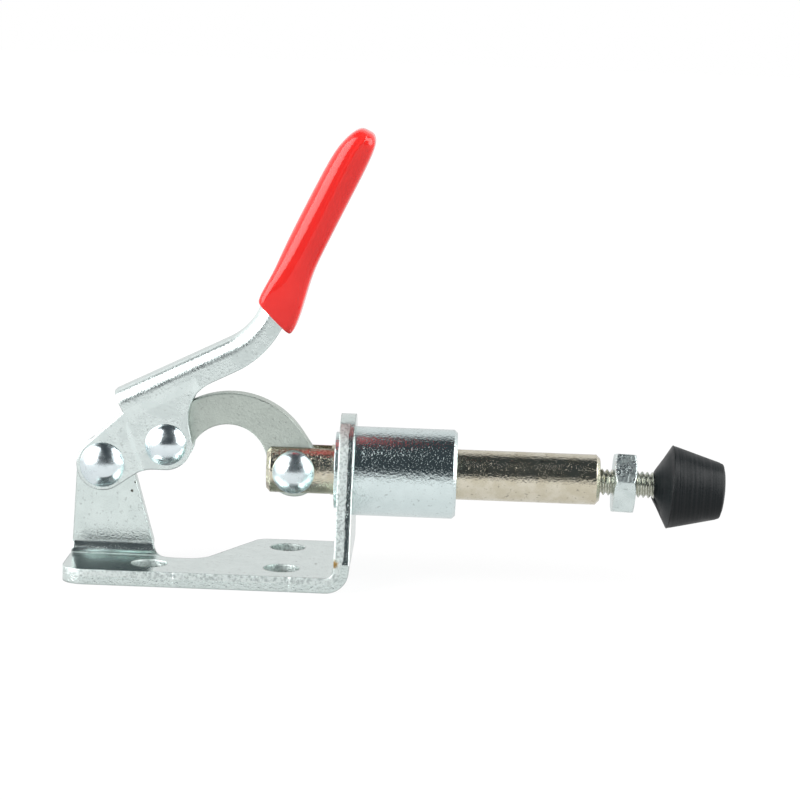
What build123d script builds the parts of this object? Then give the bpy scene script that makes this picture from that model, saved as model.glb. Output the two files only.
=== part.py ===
from build123d import *

import os
from math import asin, cos, radians, sin, sqrt, tan

# A small push-pull toggle clamp, in millimetres.
#
# The origin is on the underside of the base, midway between the two front bolt holes.
# +X runs along the plunger to its rubber tip and +Z is up.  The frame is one folded sheet: a base,
# an upright plate that carries the guide barrel, and an ear that carries the handle.  The handle
# turns on the ear, and a bent link joins it to the plunger.  Everything is drawn with the handle a
# little above dead centre.

# Frame stamping
FRAME_SHEET = 2.4
BASE_WIDTH = 28.0
BASE_TAIL = 34.1             # from the front bolt holes back to the end of the base
BASE_CORNER = 3.6            # plan radius of the rear corner
BASE_SHOULDER_X = -4.9       # where the full width ends on the ear's side
BASE_SHOULDER_SLOPE = 65.0   # degrees, the cut that runs from there to the ear
BASE_SHOULDER_ROUND = 2.5
BASE_RELIEF_ROUND = 4.0
BOLT_HOLE = 5.7
BOLT_SPACING_Y = 15.8
BOLT_SPACING_X = 20.9

# Upright plate
PLATE_FRONT_X = 10.8
PLATE_BEND = 1.2             # inside radius
PLATE_CROWN = 9.1            # radius of the rounded top, about the plunger's axis
PLATE_SHOULDER_Z = 4.6       # height at which the sides start to draw in

# Ear
EAR_BEND = 2.0               # inside radius
EAR_CROWN = 4.25             # radius of the rounded top, about the rear pivot
EAR_BACK_LEAN = 3.7          # degrees from upright
EAR_FRONT_LEAN = 16.0        # degrees from upright
EAR_FOOT_ROUND = 1.8
EAR_TOE = 3.4                # reach of the foot's outline ahead of the ear
EAR_TOE_ROUND = 4.0          # plan radius of that reach

# Linkage
AXIS_Z = 17.0                # height of the plunger's axis and of the rear pivot
REAR_PIVOT_X = -29.15
CRANK = 10.7                 # rear pivot to link pivot
LINK_LENGTH = 20.6           # link pivot to plunger pivot
REST_ANGLE = 19.8            # degrees of the crank above dead centre

# Guide barrel
BARREL_DIAMETER = 14.2
BARREL_LENGTH = 16.2
BARREL_RIM = 0.5             # bevel of the front rim
SPIGOT_DIAMETER = 10.6
STAKE_DIAMETER = 12.2
STAKE_HEIGHT = 0.7

# Plunger rod
ROD_DIAMETER = 8.0
ROD_BEHIND_PIVOT = 4.35
ROD_LENGTH = 52.9
ROD_CHAMFER = 0.6
SLOT_AHEAD_OF_PIVOT = 5.9

# Spindle, nut and cap
THREAD_DIAMETER = 4.2
SPINDLE_GRIP = 10.0          # length of thread inside the rod
SPINDLE_TILT = 1.8           # degrees, the tapped hole runs slightly downhill
SPINDLE_HEAD_ACROSS = 8.0
SPINDLE_HEAD_HEIGHT = 3.0
NUT_ACROSS = 9.1
NUT_THICKNESS = 3.4
NUT_STANDOFF = 2.2           # gap between the rod's end and the nut
NUT_TURN = 18.0              # degrees
NUT_BEVEL = 0.9              # part of each corner that the bevel takes off
NUT_BEVEL_SLOPE = 30.0       # degrees
CAP_STANDOFF = 8.6           # rod's end to the cap's neck
CAP_NECK = 4.9
CAP_RIM = 13.3
CAP_END = 8.8
CAP_CONE = 2.6               # neck to rim
CAP_BARREL = 8.3             # rim to end
CAP_DOME = 0.5               # rise of the end
CAP_CUT_COUNT = 1            # straight cuts that stand for it
CAP_COVER = 2.2              # neck to the spindle's hidden head
CAP_LEAN = 1.2               # degrees by which the rubber sits askew on the spindle

# Link
LINK_THICKNESS = 3.0
LINK_REAR_EYE = 3.8          # outside radius at the link pivot
LINK_FRONT_EYE = 4.3         # outside radius at the plunger pivot
LINK_ARCH_DROP = 1.25        # centre of the arch below the line between the pivots
LINK_BACK = 13.75            # radius of the long outer curve
LINK_BACK_AHEAD = 0.8        # its centre, ahead of the arch's
LINK_BACK_BELOW = 2.35       # its centre, below the arch's

# Handle lever, a channel pressed from sheet
LEVER_SHEET = 2.0
LEVER_WIDTH = 8.0            # outside width of the channel
LEVER_WEB_ROUND = 2.4
LEVER_REAR_BOSS = 4.1
LEVER_LINK_BOSS = 4.05
STEM_ANGLE = 26.6            # degrees above horizontal, with the handle as drawn
STEM_TOP = 11.05             # back of the channel above the link pivot
STEM_BOTTOM = 6.0            # free edge of the channel above the link pivot
STEM_REAR = 3.9              # end of the channel, behind the link pivot along the stem
SHOULDER_ANGLE = 42.5        # degrees, the edge that falls from the channel to the rear pivot
FOOT_ANGLE = 35.0            # degrees, the edge that rises from the rear pivot to the link pivot
NECK_ANGLE = 101.0           # degrees, the edge that rises from the link pivot to the stem
WAIST_ROUND = 5.0
ARMPIT_ROUND = 6.4
GRIP_ANGLE = 64.5            # degrees above horizontal
GRIP_LINE = 3.2              # back of the channel ahead of the link pivot, across the grip
GRIP_REACH = 57.2            # tip of the lever, along the grip from the link pivot
GRIP_TAPER = 1.45            # degrees by which the free edge closes towards the tip
GRIP_TIP_DEPTH = 3.85
BEND_INSIDE = 10.0
BEND_OUTSIDE = 16.0
TIP_CUT = 2.3                # size of the cut corner at the tip
CREASE_ABOVE = 6.2           # where the cheeks spread to the full width, above the link pivot
CREASE_AHEAD = 7.3           # the same along the stem
CREASE_SLOPE = 15.0          # degrees
JOGGLE_AT = 5.4              # where the cheeks step out from the ear to the link
JOGGLE_SLOPE = 25.0          # degrees

# Handle grip, dipped vinyl
VINYL = 0.9
GRIP_MOUTH = 27.2            # mouth at the back of the channel, along the grip
GRIP_MOUTH_SLANT = 16.0      # degrees
GRIP_MOUTH_CUT = 1.2         # size of the blunted corner at the mouth's free edge
GRIP_CROWN = 1.3             # vinyl beyond the lever's tip
GRIP_FRONT_TAPER = 0.8       # degrees by which the free side closes towards the tip
GRIP_FLARE_FROM = 34.5       # start of the flare, along the grip
GRIP_FLARE = 9.7             # degrees
GRIP_SHOULDER_ALONG = 4.0    # size of the rounded shoulder of the tip
GRIP_SHOULDER_ACROSS = 3.4
GRIP_TIP_ROUND = 1.9
GRIP_EDGE = 1.5              # bevel of the long edges

# Rivets
RIVET_SHANK = 3.8
REAR_RIVET_HEAD = 7.1
LINK_RIVET_HEAD = 6.6
RIVET_DOME = 2.0             # rise of a head
RIVET_CUT_COUNT = 2          # straight cuts that stand for its dome
PLUNGER_RIVET_HEAD = 6.7
PLUNGER_RIVET_SEAT = 3.9     # foot of each head, from the mid-plane

# Clearances
RUNNING_FIT = 0.05           # radial, pins in holes and the rod in its barrel
SIDE_PLAY = 0.1              # on each side of the ear and of the link between the cheeks
SLOT_PLAY = 0.15             # on each side of the link in the rod's slot

# Worked out from the sizes above
HALF_BASE = BASE_WIDTH / 2
EAR_GAP = FRAME_SHEET / 2 + SIDE_PLAY          # half the gap between the cheeks at the ear
LINK_GAP = LINK_THICKNESS / 2 + SIDE_PLAY      # half the gap between the cheeks at the link
CHANNEL_GAP = LEVER_WIDTH / 2 - LEVER_SHEET    # half the gap inside the channel
PLATE_REAR_X = PLATE_FRONT_X - FRAME_SHEET
RUNNING_HOLE = RIVET_SHANK + 2 * RUNNING_FIT
LAP = 1.0                                      # overlap where two built solids are joined
FAR = 200.0


def polar(origin, radius, degrees):
    """The point at a distance and direction from origin, in the side view."""
    return Vector(origin) + Vector(radius * cos(radians(degrees)), radius * sin(radians(degrees)))


def stepped(origin, degrees, ahead, left):
    """The point that lies ahead along a direction and then to the left of it."""
    return polar(polar(origin, ahead, degrees), left, degrees + 90)


def crossing(first, first_degrees, second, second_degrees):
    """The point where two lines of the side view meet."""
    one = polar((0, 0), 1, first_degrees)
    two = polar((0, 0), 1, second_degrees)
    gap = Vector(second) - Vector(first)
    reach = (gap.X * two.Y - gap.Y * two.X) / (one.X * two.Y - one.Y * two.X)
    return polar(first, reach, first_degrees)


REAR_PIVOT = Vector(REAR_PIVOT_X, AXIS_Z)
LINK_PIVOT = polar(REAR_PIVOT, CRANK, REST_ANGLE)
PLUNGER_PIVOT = Vector(LINK_PIVOT.X + sqrt(LINK_LENGTH**2 - (LINK_PIVOT.Y - AXIS_Z) ** 2), AXIS_Z)
LINK_ANGLE = -(PLUNGER_PIVOT - LINK_PIVOT).get_angle(Vector(1, 0))
ROD_REAR_X = PLUNGER_PIVOT.X - ROD_BEHIND_PIVOT
ROD_FRONT_X = ROD_REAR_X + ROD_LENGTH


def rounded(outline, corners):
    """Round corners of a flat outline; corners lists (point, radius)."""
    for point, radius in corners:
        outline = fillet(outline.vertices().sort_by_distance(Vector(point))[0], radius)
    return outline


def bevelled(outline, corners):
    """Cut corners off a flat outline; corners lists (point, size)."""
    for point, size in corners:
        outline = chamfer(outline.vertices().sort_by_distance(Vector(point))[0], size)
    return outline


def side_plate(outline, width):
    """Stand a side-view outline up and give it a width centred on the mid-plane."""
    return extrude(Plane.XZ * outline, width / 2, both=True)


def cross_pin(point, diameter, width):
    """A cylinder across the clamp at a point of the side view."""
    return Pos(point.X, 0, point.Y) * Rot(90, 0, 0) * Cylinder(diameter / 2, width)


def along_axis(profile):
    """Turn a profile, drawn as (distance along the plunger, radius), about the plunger's axis."""
    return Pos(0, 0, AXIS_Z) * revolve(profile, Axis.X)


def base_plate():
    """The flat base with its cut-away rear quarter and its three bolt holes."""
    ear_line = -FRAME_SHEET / 2 - EAR_BEND
    front = PLATE_REAR_X - PLATE_BEND
    relief = crossing((BASE_SHOULDER_X, HALF_BASE), BASE_SHOULDER_SLOPE, (0, ear_line), 0)
    outline = make_face(
        Polyline(
            (-BASE_TAIL, -HALF_BASE),
            (front, -HALF_BASE),
            (front, HALF_BASE),
            (BASE_SHOULDER_X, HALF_BASE),
            (relief.X, ear_line),
            (-BASE_TAIL, ear_line),
            close=True,
        )
    )
    outline = rounded(
        outline,
        [
            ((-BASE_TAIL, -HALF_BASE), BASE_CORNER),
            ((BASE_SHOULDER_X, HALF_BASE), BASE_SHOULDER_ROUND),
            ((relief.X, ear_line), BASE_RELIEF_ROUND),
        ],
    )
    plate = extrude(outline, FRAME_SHEET)
    holes = [
        (0, BOLT_SPACING_Y / 2),
        (0, -BOLT_SPACING_Y / 2),
        (-BOLT_SPACING_X, -BOLT_SPACING_Y / 2),
    ]
    for x, y in holes:
        plate -= Pos(x, y, 0) * Cylinder(BOLT_HOLE / 2, FRAME_SHEET * 3)
    return plate


def bend_section(face, inside, top):
    """Section of a sheet that runs flat and then bends up, the upright's outer face at a given place."""
    outer = inside + FRAME_SHEET
    start = face - outer - LAP
    inner = face - FRAME_SHEET
    section = make_face(
        Polyline(
            (start, 0),
            (face, 0),
            (face, top),
            (inner, top),
            (inner, FRAME_SHEET),
            (start, FRAME_SHEET),
            close=True,
        )
    )
    return rounded(section, [((face, 0), outer), ((inner, FRAME_SHEET), inside)])


def barrel_plate():
    """The upright plate, its bend from the base and the hole for the barrel's spigot."""
    section = bend_section(PLATE_FRONT_X, PLATE_BEND, AXIS_Z + PLATE_CROWN)
    crown = Pos(0, AXIS_Z) * Circle(PLATE_CROWN)
    foot = Line((-HALF_BASE, 0), (HALF_BASE, 0))
    shoulders = Line((-HALF_BASE, PLATE_SHOULDER_Z), (HALF_BASE, PLATE_SHOULDER_Z))
    front_view = make_hull(crown.edges() + foot.edges() + shoulders.edges())
    plate = side_plate(section, BASE_WIDTH) & extrude(Plane.YZ * front_view, FAR, both=True)
    spigot = Cylinder(SPIGOT_DIAMETER / 2, 4 * FRAME_SHEET)
    return plate - Pos(PLATE_FRONT_X, 0, AXIS_Z) * Rot(0, 90, 0) * spigot


def ear():
    """The upright ear, bent up from the base along the mid-plane, with the rear pivot's hole."""
    base_line = -FRAME_SHEET / 2 - EAR_BEND
    strip = extrude(Plane.YZ * bend_section(FRAME_SHEET / 2, EAR_BEND, FAR), FAR, both=True)
    back = polar(REAR_PIVOT, EAR_CROWN, 180 - EAR_BACK_LEAN)
    front = polar(REAR_PIVOT, EAR_CROWN, EAR_FRONT_LEAN)
    knee = crossing(front, 90 + EAR_FRONT_LEAN, (0, FRAME_SHEET), 0)
    toe = knee.X + EAR_TOE
    body = make_face(
        Polyline(
            (-BASE_TAIL, 0),
            (toe, 0),
            (toe, FRAME_SHEET),
            (knee.X, FRAME_SHEET),
            (front.X, front.Y),
            (REAR_PIVOT.X, REAR_PIVOT.Y),
            (back.X, back.Y),
            close=True,
        )
    )
    body = rounded(body, [((knee.X, FRAME_SHEET), EAR_FOOT_ROUND)])
    outline = body + Pos(REAR_PIVOT.X, REAR_PIVOT.Y) * Circle(EAR_CROWN)
    sheet = strip & side_plate(outline, BASE_WIDTH)
    relief = Pos(toe, base_line + EAR_TOE_ROUND) * Circle(EAR_TOE_ROUND)
    sheet -= extrude(relief, FRAME_SHEET + EAR_BEND)
    return sheet - cross_pin(REAR_PIVOT, RUNNING_HOLE, BASE_WIDTH)


def frame():
    """The one-piece stamping: base, upright plate and ear."""
    return base_plate() + barrel_plate() + ear()


def guide_barrel():
    """The turned guide: a barrel in front of the plate and a spigot staked over behind it."""
    front = PLATE_FRONT_X + BARREL_LENGTH
    stake = PLATE_REAR_X - STAKE_HEIGHT
    bore = ROD_DIAMETER / 2 + RUNNING_FIT
    profile = make_face(
        Polyline(
            (stake, bore),
            (front, bore),
            (front, BARREL_DIAMETER / 2),
            (PLATE_FRONT_X, BARREL_DIAMETER / 2),
            (PLATE_FRONT_X, SPIGOT_DIAMETER / 2),
            (PLATE_REAR_X, SPIGOT_DIAMETER / 2),
            (PLATE_REAR_X, STAKE_DIAMETER / 2),
            (stake, STAKE_DIAMETER / 2),
            close=True,
        )
    )
    return along_axis(bevelled(profile, [((front, BARREL_DIAMETER / 2), BARREL_RIM)]))


def link_arch():
    """Centre and radius of the link's arch, which runs smoothly into both eyes."""
    growth = (LINK_FRONT_EYE - LINK_REAR_EYE) / LINK_LENGTH
    middle = LINK_LENGTH * (1 - growth**2) / 2
    square = 1 - growth**2
    linear = 2 * middle * growth
    constant = middle**2 + LINK_ARCH_DROP**2
    reach = (sqrt(linear**2 + 4 * square * constant) - linear) / (2 * square)
    centre = stepped(LINK_PIVOT, LINK_ANGLE, middle - growth * reach, -LINK_ARCH_DROP)
    return centre, reach - LINK_REAR_EYE


def link():
    """The bent link between the handle and the plunger: two eyes joined over an arch."""
    centre, radius = link_arch()
    back = stepped(centre, LINK_ANGLE, LINK_BACK_AHEAD, -LINK_BACK_BELOW)
    rear_eye = Pos(LINK_PIVOT) * Circle(LINK_REAR_EYE)
    front_eye = Pos(PLUNGER_PIVOT) * Circle(LINK_FRONT_EYE)
    outside = make_hull(rear_eye.edges() + front_eye.edges() + (Pos(back) * Circle(LINK_BACK)).edges())
    above = Vector(0, 2 * LINK_BACK)
    beyond_rear = LINK_PIVOT * 2 - back
    beyond_front = PLUNGER_PIVOT * 2 - back
    keep = make_face(
        Polyline(
            centre,
            PLUNGER_PIVOT,
            beyond_front,
            beyond_front + above,
            beyond_rear + above,
            beyond_rear,
            LINK_PIVOT,
            close=True,
        )
    )
    outline = (outside & keep) - Pos(centre) * Circle(radius) + rear_eye + front_eye
    plate = side_plate(outline, LINK_THICKNESS)
    for pivot in (LINK_PIVOT, PLUNGER_PIVOT):
        plate -= cross_pin(pivot, RUNNING_HOLE, BASE_WIDTH)
    return plate


def on_stem(ahead, above):
    """A point of the side view measured from the link pivot along the stem."""
    return stepped(LINK_PIVOT, STEM_ANGLE, ahead, above)


def on_grip(ahead, across):
    """A point of the side view measured from the link pivot along the grip."""
    return stepped(LINK_PIVOT, GRIP_ANGLE, ahead, -across)


def lever_outline():
    """The lever seen from the side."""
    cut = on_stem(-STEM_REAR, STEM_TOP)
    shoulder = polar(REAR_PIVOT, LEVER_REAR_BOSS, 90 + SHOULDER_ANGLE)
    notch = crossing(cut, STEM_ANGLE + 90, shoulder, SHOULDER_ANGLE)
    heel = polar(REAR_PIVOT, LEVER_REAR_BOSS, 180 + (SHOULDER_ANGLE + FOOT_ANGLE) / 2)
    foot = polar(REAR_PIVOT, LEVER_REAR_BOSS, FOOT_ANGLE - 90)
    waist = crossing(foot, FOOT_ANGLE, (0, LINK_PIVOT.Y - LEVER_LINK_BOSS), 0)
    under = polar(LINK_PIVOT, LEVER_LINK_BOSS, -90)
    side = polar(LINK_PIVOT, LEVER_LINK_BOSS, NECK_ANGLE / 2 - 90)
    neck = polar(LINK_PIVOT, LEVER_LINK_BOSS, NECK_ANGLE - 90)
    armpit = crossing(neck, NECK_ANGLE, on_stem(0, STEM_BOTTOM), STEM_ANGLE)
    tip_front = on_grip(GRIP_REACH, GRIP_LINE + GRIP_TIP_DEPTH)
    elbow = crossing(armpit, STEM_ANGLE, tip_front, GRIP_ANGLE + GRIP_TAPER)
    tip_back = on_grip(GRIP_REACH, GRIP_LINE)
    hollow = crossing(cut, STEM_ANGLE, tip_back, GRIP_ANGLE)
    outline = make_face(
        Polyline(cut, notch, shoulder)
        + ThreePointArc(shoulder, heel, foot)
        + Polyline(foot, waist, under)
        + ThreePointArc(under, side, neck)
        + Polyline(neck, armpit, elbow, tip_front, tip_back, hollow, cut)
    )
    outline = bevelled(outline, [(tip_back, TIP_CUT)])
    return rounded(
        outline,
        [
            (waist, WAIST_ROUND),
            (armpit, ARMPIT_ROUND),
            (elbow, BEND_OUTSIDE),
            (hollow, BEND_INSIDE),
        ],
    )


def spread(origin, degrees, slope, narrow, wide):
    """The room on one side of a line in the side view, where a gap widens from narrow to wide.

    The line runs through origin in the given direction and the room lies to its left.
    """
    ramp = (wide - narrow) / tan(radians(slope))
    line = polar((0, 0), 1, degrees)
    left = polar((0, 0), 1, degrees + 90)
    at = Plane(
        origin=(origin.X, 0, origin.Y),
        x_dir=(left.X, 0, left.Y),
        z_dir=(line.X, 0, line.Y),
    )
    section = make_face(
        Polyline(
            (0, -narrow),
            (ramp, -wide),
            (FAR, -wide),
            (FAR, wide),
            (ramp, wide),
            (0, narrow),
            close=True,
        )
    )
    return extrude(at * section, FAR, both=True)


def lever_room(wall):
    """The space between the planes that bound the cheeks; wall is 0 inside and the sheet outside."""
    ear_half = EAR_GAP + wall
    link_half = LINK_GAP + wall
    channel_half = CHANNEL_GAP + wall
    lead = (link_half - ear_half) / tan(radians(CREASE_SLOPE))
    at_ear = Box(FAR, 2 * ear_half, FAR)
    joggle = stepped(REAR_PIVOT, REST_ANGLE, JOGGLE_AT, 0)
    at_link = spread(joggle, REST_ANGLE - 90, JOGGLE_SLOPE, ear_half, link_half)
    low = on_stem(0, CREASE_ABOVE - lead)
    back = on_stem(CREASE_AHEAD - lead, 0)
    above = spread(low, STEM_ANGLE, CREASE_SLOPE, ear_half, channel_half)
    ahead = spread(back, STEM_ANGLE - 90, CREASE_SLOPE, ear_half, channel_half)
    return at_ear + at_link + above + ahead


def web_edges(solid, half_width):
    """The long edges along the back of the channel, on both sides."""
    hollow = crossing(on_stem(0, STEM_TOP), STEM_ANGLE, on_grip(0, GRIP_LINE), GRIP_ANGLE)
    stem = (on_stem(-STEM_REAR, STEM_TOP) + hollow) / 2
    grip = (on_grip(GRIP_REACH, GRIP_LINE) + hollow) / 2
    chosen = []
    for point in (stem, hollow, grip):
        for y in (-half_width, half_width):
            chosen.append(solid.edges().sort_by_distance(Vector(point.X, y, point.Y))[0])
    return chosen


def lever_solid():
    """The lever before it is hollowed."""
    block = side_plate(lever_outline(), LEVER_WIDTH)
    block = fillet(web_edges(block, LEVER_WIDTH / 2), LEVER_WEB_ROUND)
    return block & lever_room(LEVER_SHEET)


def handle_lever():
    """The pressed channel: two cheeks that carry the rivets, joined by a web along the back."""
    hollow = side_plate(open_outline(), LEVER_WIDTH) & lever_room(0)
    lever = lever_solid() - hollow
    for pivot in (REAR_PIVOT, LINK_PIVOT):
        lever -= cross_pin(pivot, RIVET_SHANK, BASE_WIDTH)
    return lever


def open_outline():
    """Side view of the room between the cheeks, open at the rear and along the free edge."""
    inside = STEM_TOP - LEVER_SHEET
    line = GRIP_LINE + LEVER_SHEET
    hollow = crossing(on_stem(0, inside), STEM_ANGLE, on_grip(0, line), GRIP_ANGLE)
    outline = make_face(
        Polyline(
            on_stem(-FAR / 4, inside),
            hollow,
            on_grip(GRIP_REACH - LEVER_SHEET, line),
            on_grip(GRIP_REACH - LEVER_SHEET, FAR / 4),
            on_stem(-FAR / 4, -FAR / 4),
            close=True,
        )
    )
    return rounded(outline, [(hollow, BEND_INSIDE + LEVER_SHEET)])


def grip_outline():
    """Side view of the grip, whose free side flares out to the slanted mouth."""
    back = GRIP_LINE - VINYL
    front_angle = GRIP_ANGLE + GRIP_FRONT_TAPER
    flare_angle = front_angle + GRIP_FLARE
    top = GRIP_REACH + GRIP_CROWN
    shoulder = on_grip(top - GRIP_SHOULDER_ALONG, back)
    peak = on_grip(top, back + GRIP_SHOULDER_ACROSS)
    along = polar((0, 0), 1, GRIP_ANGLE)
    fall = 2 * (peak - shoulder).get_angle(along)
    front = on_grip(top, GRIP_LINE + GRIP_TIP_DEPTH + VINYL)
    tip_front = crossing(peak, GRIP_ANGLE - fall, front, front_angle)
    flare = crossing(front, front_angle, on_grip(GRIP_FLARE_FROM, 0), GRIP_ANGLE - 90)
    mouth_back = on_grip(GRIP_MOUTH, back)
    corner = crossing(mouth_back, GRIP_ANGLE - 90 - GRIP_MOUTH_SLANT, flare, flare_angle)
    low = polar(corner, GRIP_MOUTH_CUT, GRIP_ANGLE + 90 - GRIP_MOUTH_SLANT)
    high = polar(corner, GRIP_MOUTH_CUT, flare_angle)
    outline = make_face(
        TangentArc(shoulder, peak, tangent=along)
        + Polyline(peak, tip_front, flare, high, low, mouth_back, shoulder)
    )
    return rounded(outline, [(tip_front, GRIP_TIP_ROUND)])


def handle_grip():
    """The dipped vinyl sleeve over the upper part of the lever."""
    half = LEVER_WIDTH / 2 + VINYL
    sleeve = side_plate(grip_outline(), 2 * half)
    middle = (GRIP_FLARE_FROM + GRIP_REACH) / 2
    low = (GRIP_MOUTH + GRIP_FLARE_FROM) / 2
    flare_drop = (GRIP_FLARE_FROM - low) * tan(radians(GRIP_FLARE))
    front = GRIP_LINE + GRIP_TIP_DEPTH + VINYL
    marks = [on_grip(middle, GRIP_LINE - VINYL), on_grip(middle, front), on_grip(low, front + flare_drop)]
    edges = []
    for mark in marks:
        for y in (-half, half):
            edges.append(sleeve.edges().sort_by_distance(Vector(mark.X, y, mark.Y))[0])
    return chamfer(edges, GRIP_EDGE) - lever_solid()


def dome(radius, base, rise, cuts):
    """Points, as (radius, height), from the rim of a dome to its axis, over straight cuts and a flat."""
    sphere = (radius**2 + rise**2) / (2 * rise)
    step = asin(radius / sphere) / (cuts + 0.5)
    points = []
    for count in range(cuts + 1):
        angle = (cuts + 0.5 - count) * step
        points.append((sphere * sin(angle), base + rise - sphere * (1 - cos(angle))))
    points.append((0, points[-1][1]))
    return points


def rivet_head(point, seat, diameter):
    """A domed head at a point of the side view; its flat underside is at y = seat, facing inwards."""
    crown = dome(diameter / 2, 0, RIVET_DOME, RIVET_CUT_COUNT)
    head = revolve(make_face(Polyline((0, 0), *crown, close=True)), Axis.Y)
    turn = 0 if seat > 0 else 180
    return Pos(point.X, seat, point.Y) * Rot(turn, 0, 0) * head


def cheek_rivet(point, half_width, diameter):
    """A rivet through both cheeks of the lever, headed on each side."""
    rivet = cross_pin(point, RIVET_SHANK, 2 * half_width)
    for seat in (-half_width, half_width):
        rivet += rivet_head(point, seat, diameter)
    return rivet


def rear_pivot_rivet():
    """The rivet on which the handle turns in the ear."""
    return cheek_rivet(REAR_PIVOT, EAR_GAP + LEVER_SHEET, REAR_RIVET_HEAD)


def link_rivet():
    """The rivet that carries the link's rear eye between the cheeks."""
    return cheek_rivet(LINK_PIVOT, LINK_GAP + LEVER_SHEET, LINK_RIVET_HEAD)


def plunger_rod():
    """The sliding rod, slotted for the link at one end and tapped for the spindle at the other."""
    radius = ROD_DIAMETER / 2
    profile = make_face(
        Polyline(
            (ROD_REAR_X, 0),
            (ROD_REAR_X, radius - ROD_CHAMFER),
            (ROD_REAR_X + ROD_CHAMFER, radius),
            (ROD_FRONT_X - ROD_CHAMFER, radius),
            (ROD_FRONT_X, radius - ROD_CHAMFER),
            (ROD_FRONT_X, 0),
            close=True,
        )
    )
    rod = along_axis(profile)
    slot_half = LINK_THICKNESS / 2 + SLOT_PLAY
    slot_end = PLUNGER_PIVOT.X + SLOT_AHEAD_OF_PIVOT
    slot_length = slot_end - ROD_REAR_X + LAP
    rod -= Pos(slot_end - slot_length / 2, 0, AXIS_Z) * Box(slot_length, 2 * slot_half, 2 * ROD_DIAMETER)
    rod -= cross_pin(PLUNGER_PIVOT, RIVET_SHANK, BASE_WIDTH)
    return rod - spindle_bolt()


def plunger_rivet():
    """The two headed stubs of the plunger's rivet, one in each cheek of the slotted rod."""
    slot_half = LINK_THICKNESS / 2 + SLOT_PLAY
    rod = Pos(PLUNGER_PIVOT.X, 0, AXIS_Z) * Rot(0, 90, 0) * Cylinder(ROD_DIAMETER / 2, ROD_DIAMETER * 2)
    body = cross_pin(PLUNGER_PIVOT, PLUNGER_RIVET_HEAD, 2 * PLUNGER_RIVET_SEAT)
    for seat in (-PLUNGER_RIVET_SEAT, PLUNGER_RIVET_SEAT):
        body += rivet_head(PLUNGER_PIVOT, seat, PLUNGER_RIVET_HEAD)
    body = body - rod + cross_pin(PLUNGER_PIVOT, RIVET_SHANK, 2 * PLUNGER_RIVET_SEAT)
    return body - Box(FAR, 2 * slot_half, FAR)


def on_spindle(distance):
    """The placing at a distance from the rod's end along the spindle; its z axis points forwards."""
    start = Pos(ROD_FRONT_X - SPINDLE_GRIP, 0, AXIS_Z) * Rot(0, 90 + SPINDLE_TILT, 0)
    return start * Pos(0, 0, SPINDLE_GRIP + distance)


def hexagon(across, height):
    """A hexagonal prism that stands on the origin."""
    return extrude(RegularPolygon(across / 2, 6, major_radius=False), height)


def spindle_bolt():
    """The threaded spindle and its head, which is moulded into the cap."""
    length = SPINDLE_GRIP + CAP_STANDOFF + CAP_COVER
    shank = extrude(Circle(THREAD_DIAMETER / 2), length + LAP)
    head = hexagon(SPINDLE_HEAD_ACROSS, SPINDLE_HEAD_HEIGHT)
    return on_spindle(-SPINDLE_GRIP) * shank + in_cap(CAP_COVER) * head


def in_cap(distance):
    """The placing at a distance from the cap's neck along the cap's own axis."""
    return on_spindle(CAP_STANDOFF) * Rot(0, CAP_LEAN, 0) * Pos(0, 0, distance)


def lock_nut():
    """The chamfered hexagon nut on the spindle."""
    blank = Rot(0, 0, NUT_TURN) * hexagon(NUT_ACROSS, NUT_THICKNESS)
    corner = NUT_ACROSS / sqrt(3)
    bevel = (corner - NUT_ACROSS / 2) * NUT_BEVEL
    rise = bevel * tan(radians(NUT_BEVEL_SLOPE))
    turned = make_face(
        Polyline(
            (0, 0),
            (corner - bevel, 0),
            (corner, rise),
            (corner, NUT_THICKNESS - rise),
            (corner - bevel, NUT_THICKNESS),
            (0, NUT_THICKNESS),
            close=True,
        )
    )
    nut = blank & revolve(Plane.XZ * turned, Axis.Z)
    return on_spindle(NUT_STANDOFF) * nut - spindle_bolt()


def rubber_cap():
    """The moulded rubber tip over the spindle's head."""
    length = CAP_CONE + CAP_BARREL
    end = dome(CAP_END / 2, length, CAP_DOME, CAP_CUT_COUNT)
    side = make_face(Polyline((0, 0), (CAP_NECK / 2, 0), (CAP_RIM / 2, CAP_CONE), *end, close=True))
    return in_cap(0) * revolve(Plane.XZ * side, Axis.Z) - spindle_bolt()


PIECES = {
    "frame": frame,
    "guide_barrel": guide_barrel,
    "handle_lever": handle_lever,
    "handle_grip": handle_grip,
    "rear_pivot_rivet": rear_pivot_rivet,
    "link_rivet": link_rivet,
    "link": link,
    "plunger_rod": plunger_rod,
    "plunger_rivet": plunger_rivet,
    "spindle_bolt": spindle_bolt,
    "lock_nut": lock_nut,
    "rubber_cap": rubber_cap,
}

os.makedirs("parts", exist_ok=True)
for name, build in PIECES.items():
    export_step(Part() + build(), f"parts/{name}.step")
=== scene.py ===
"""Looks for a small push-pull toggle clamp: materials, thread, studio and camera."""

import logging
import math
from dataclasses import dataclass
from enum import Enum
from typing import Union

import bmesh
import bpy
from mathutils import Matrix, Vector

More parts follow.
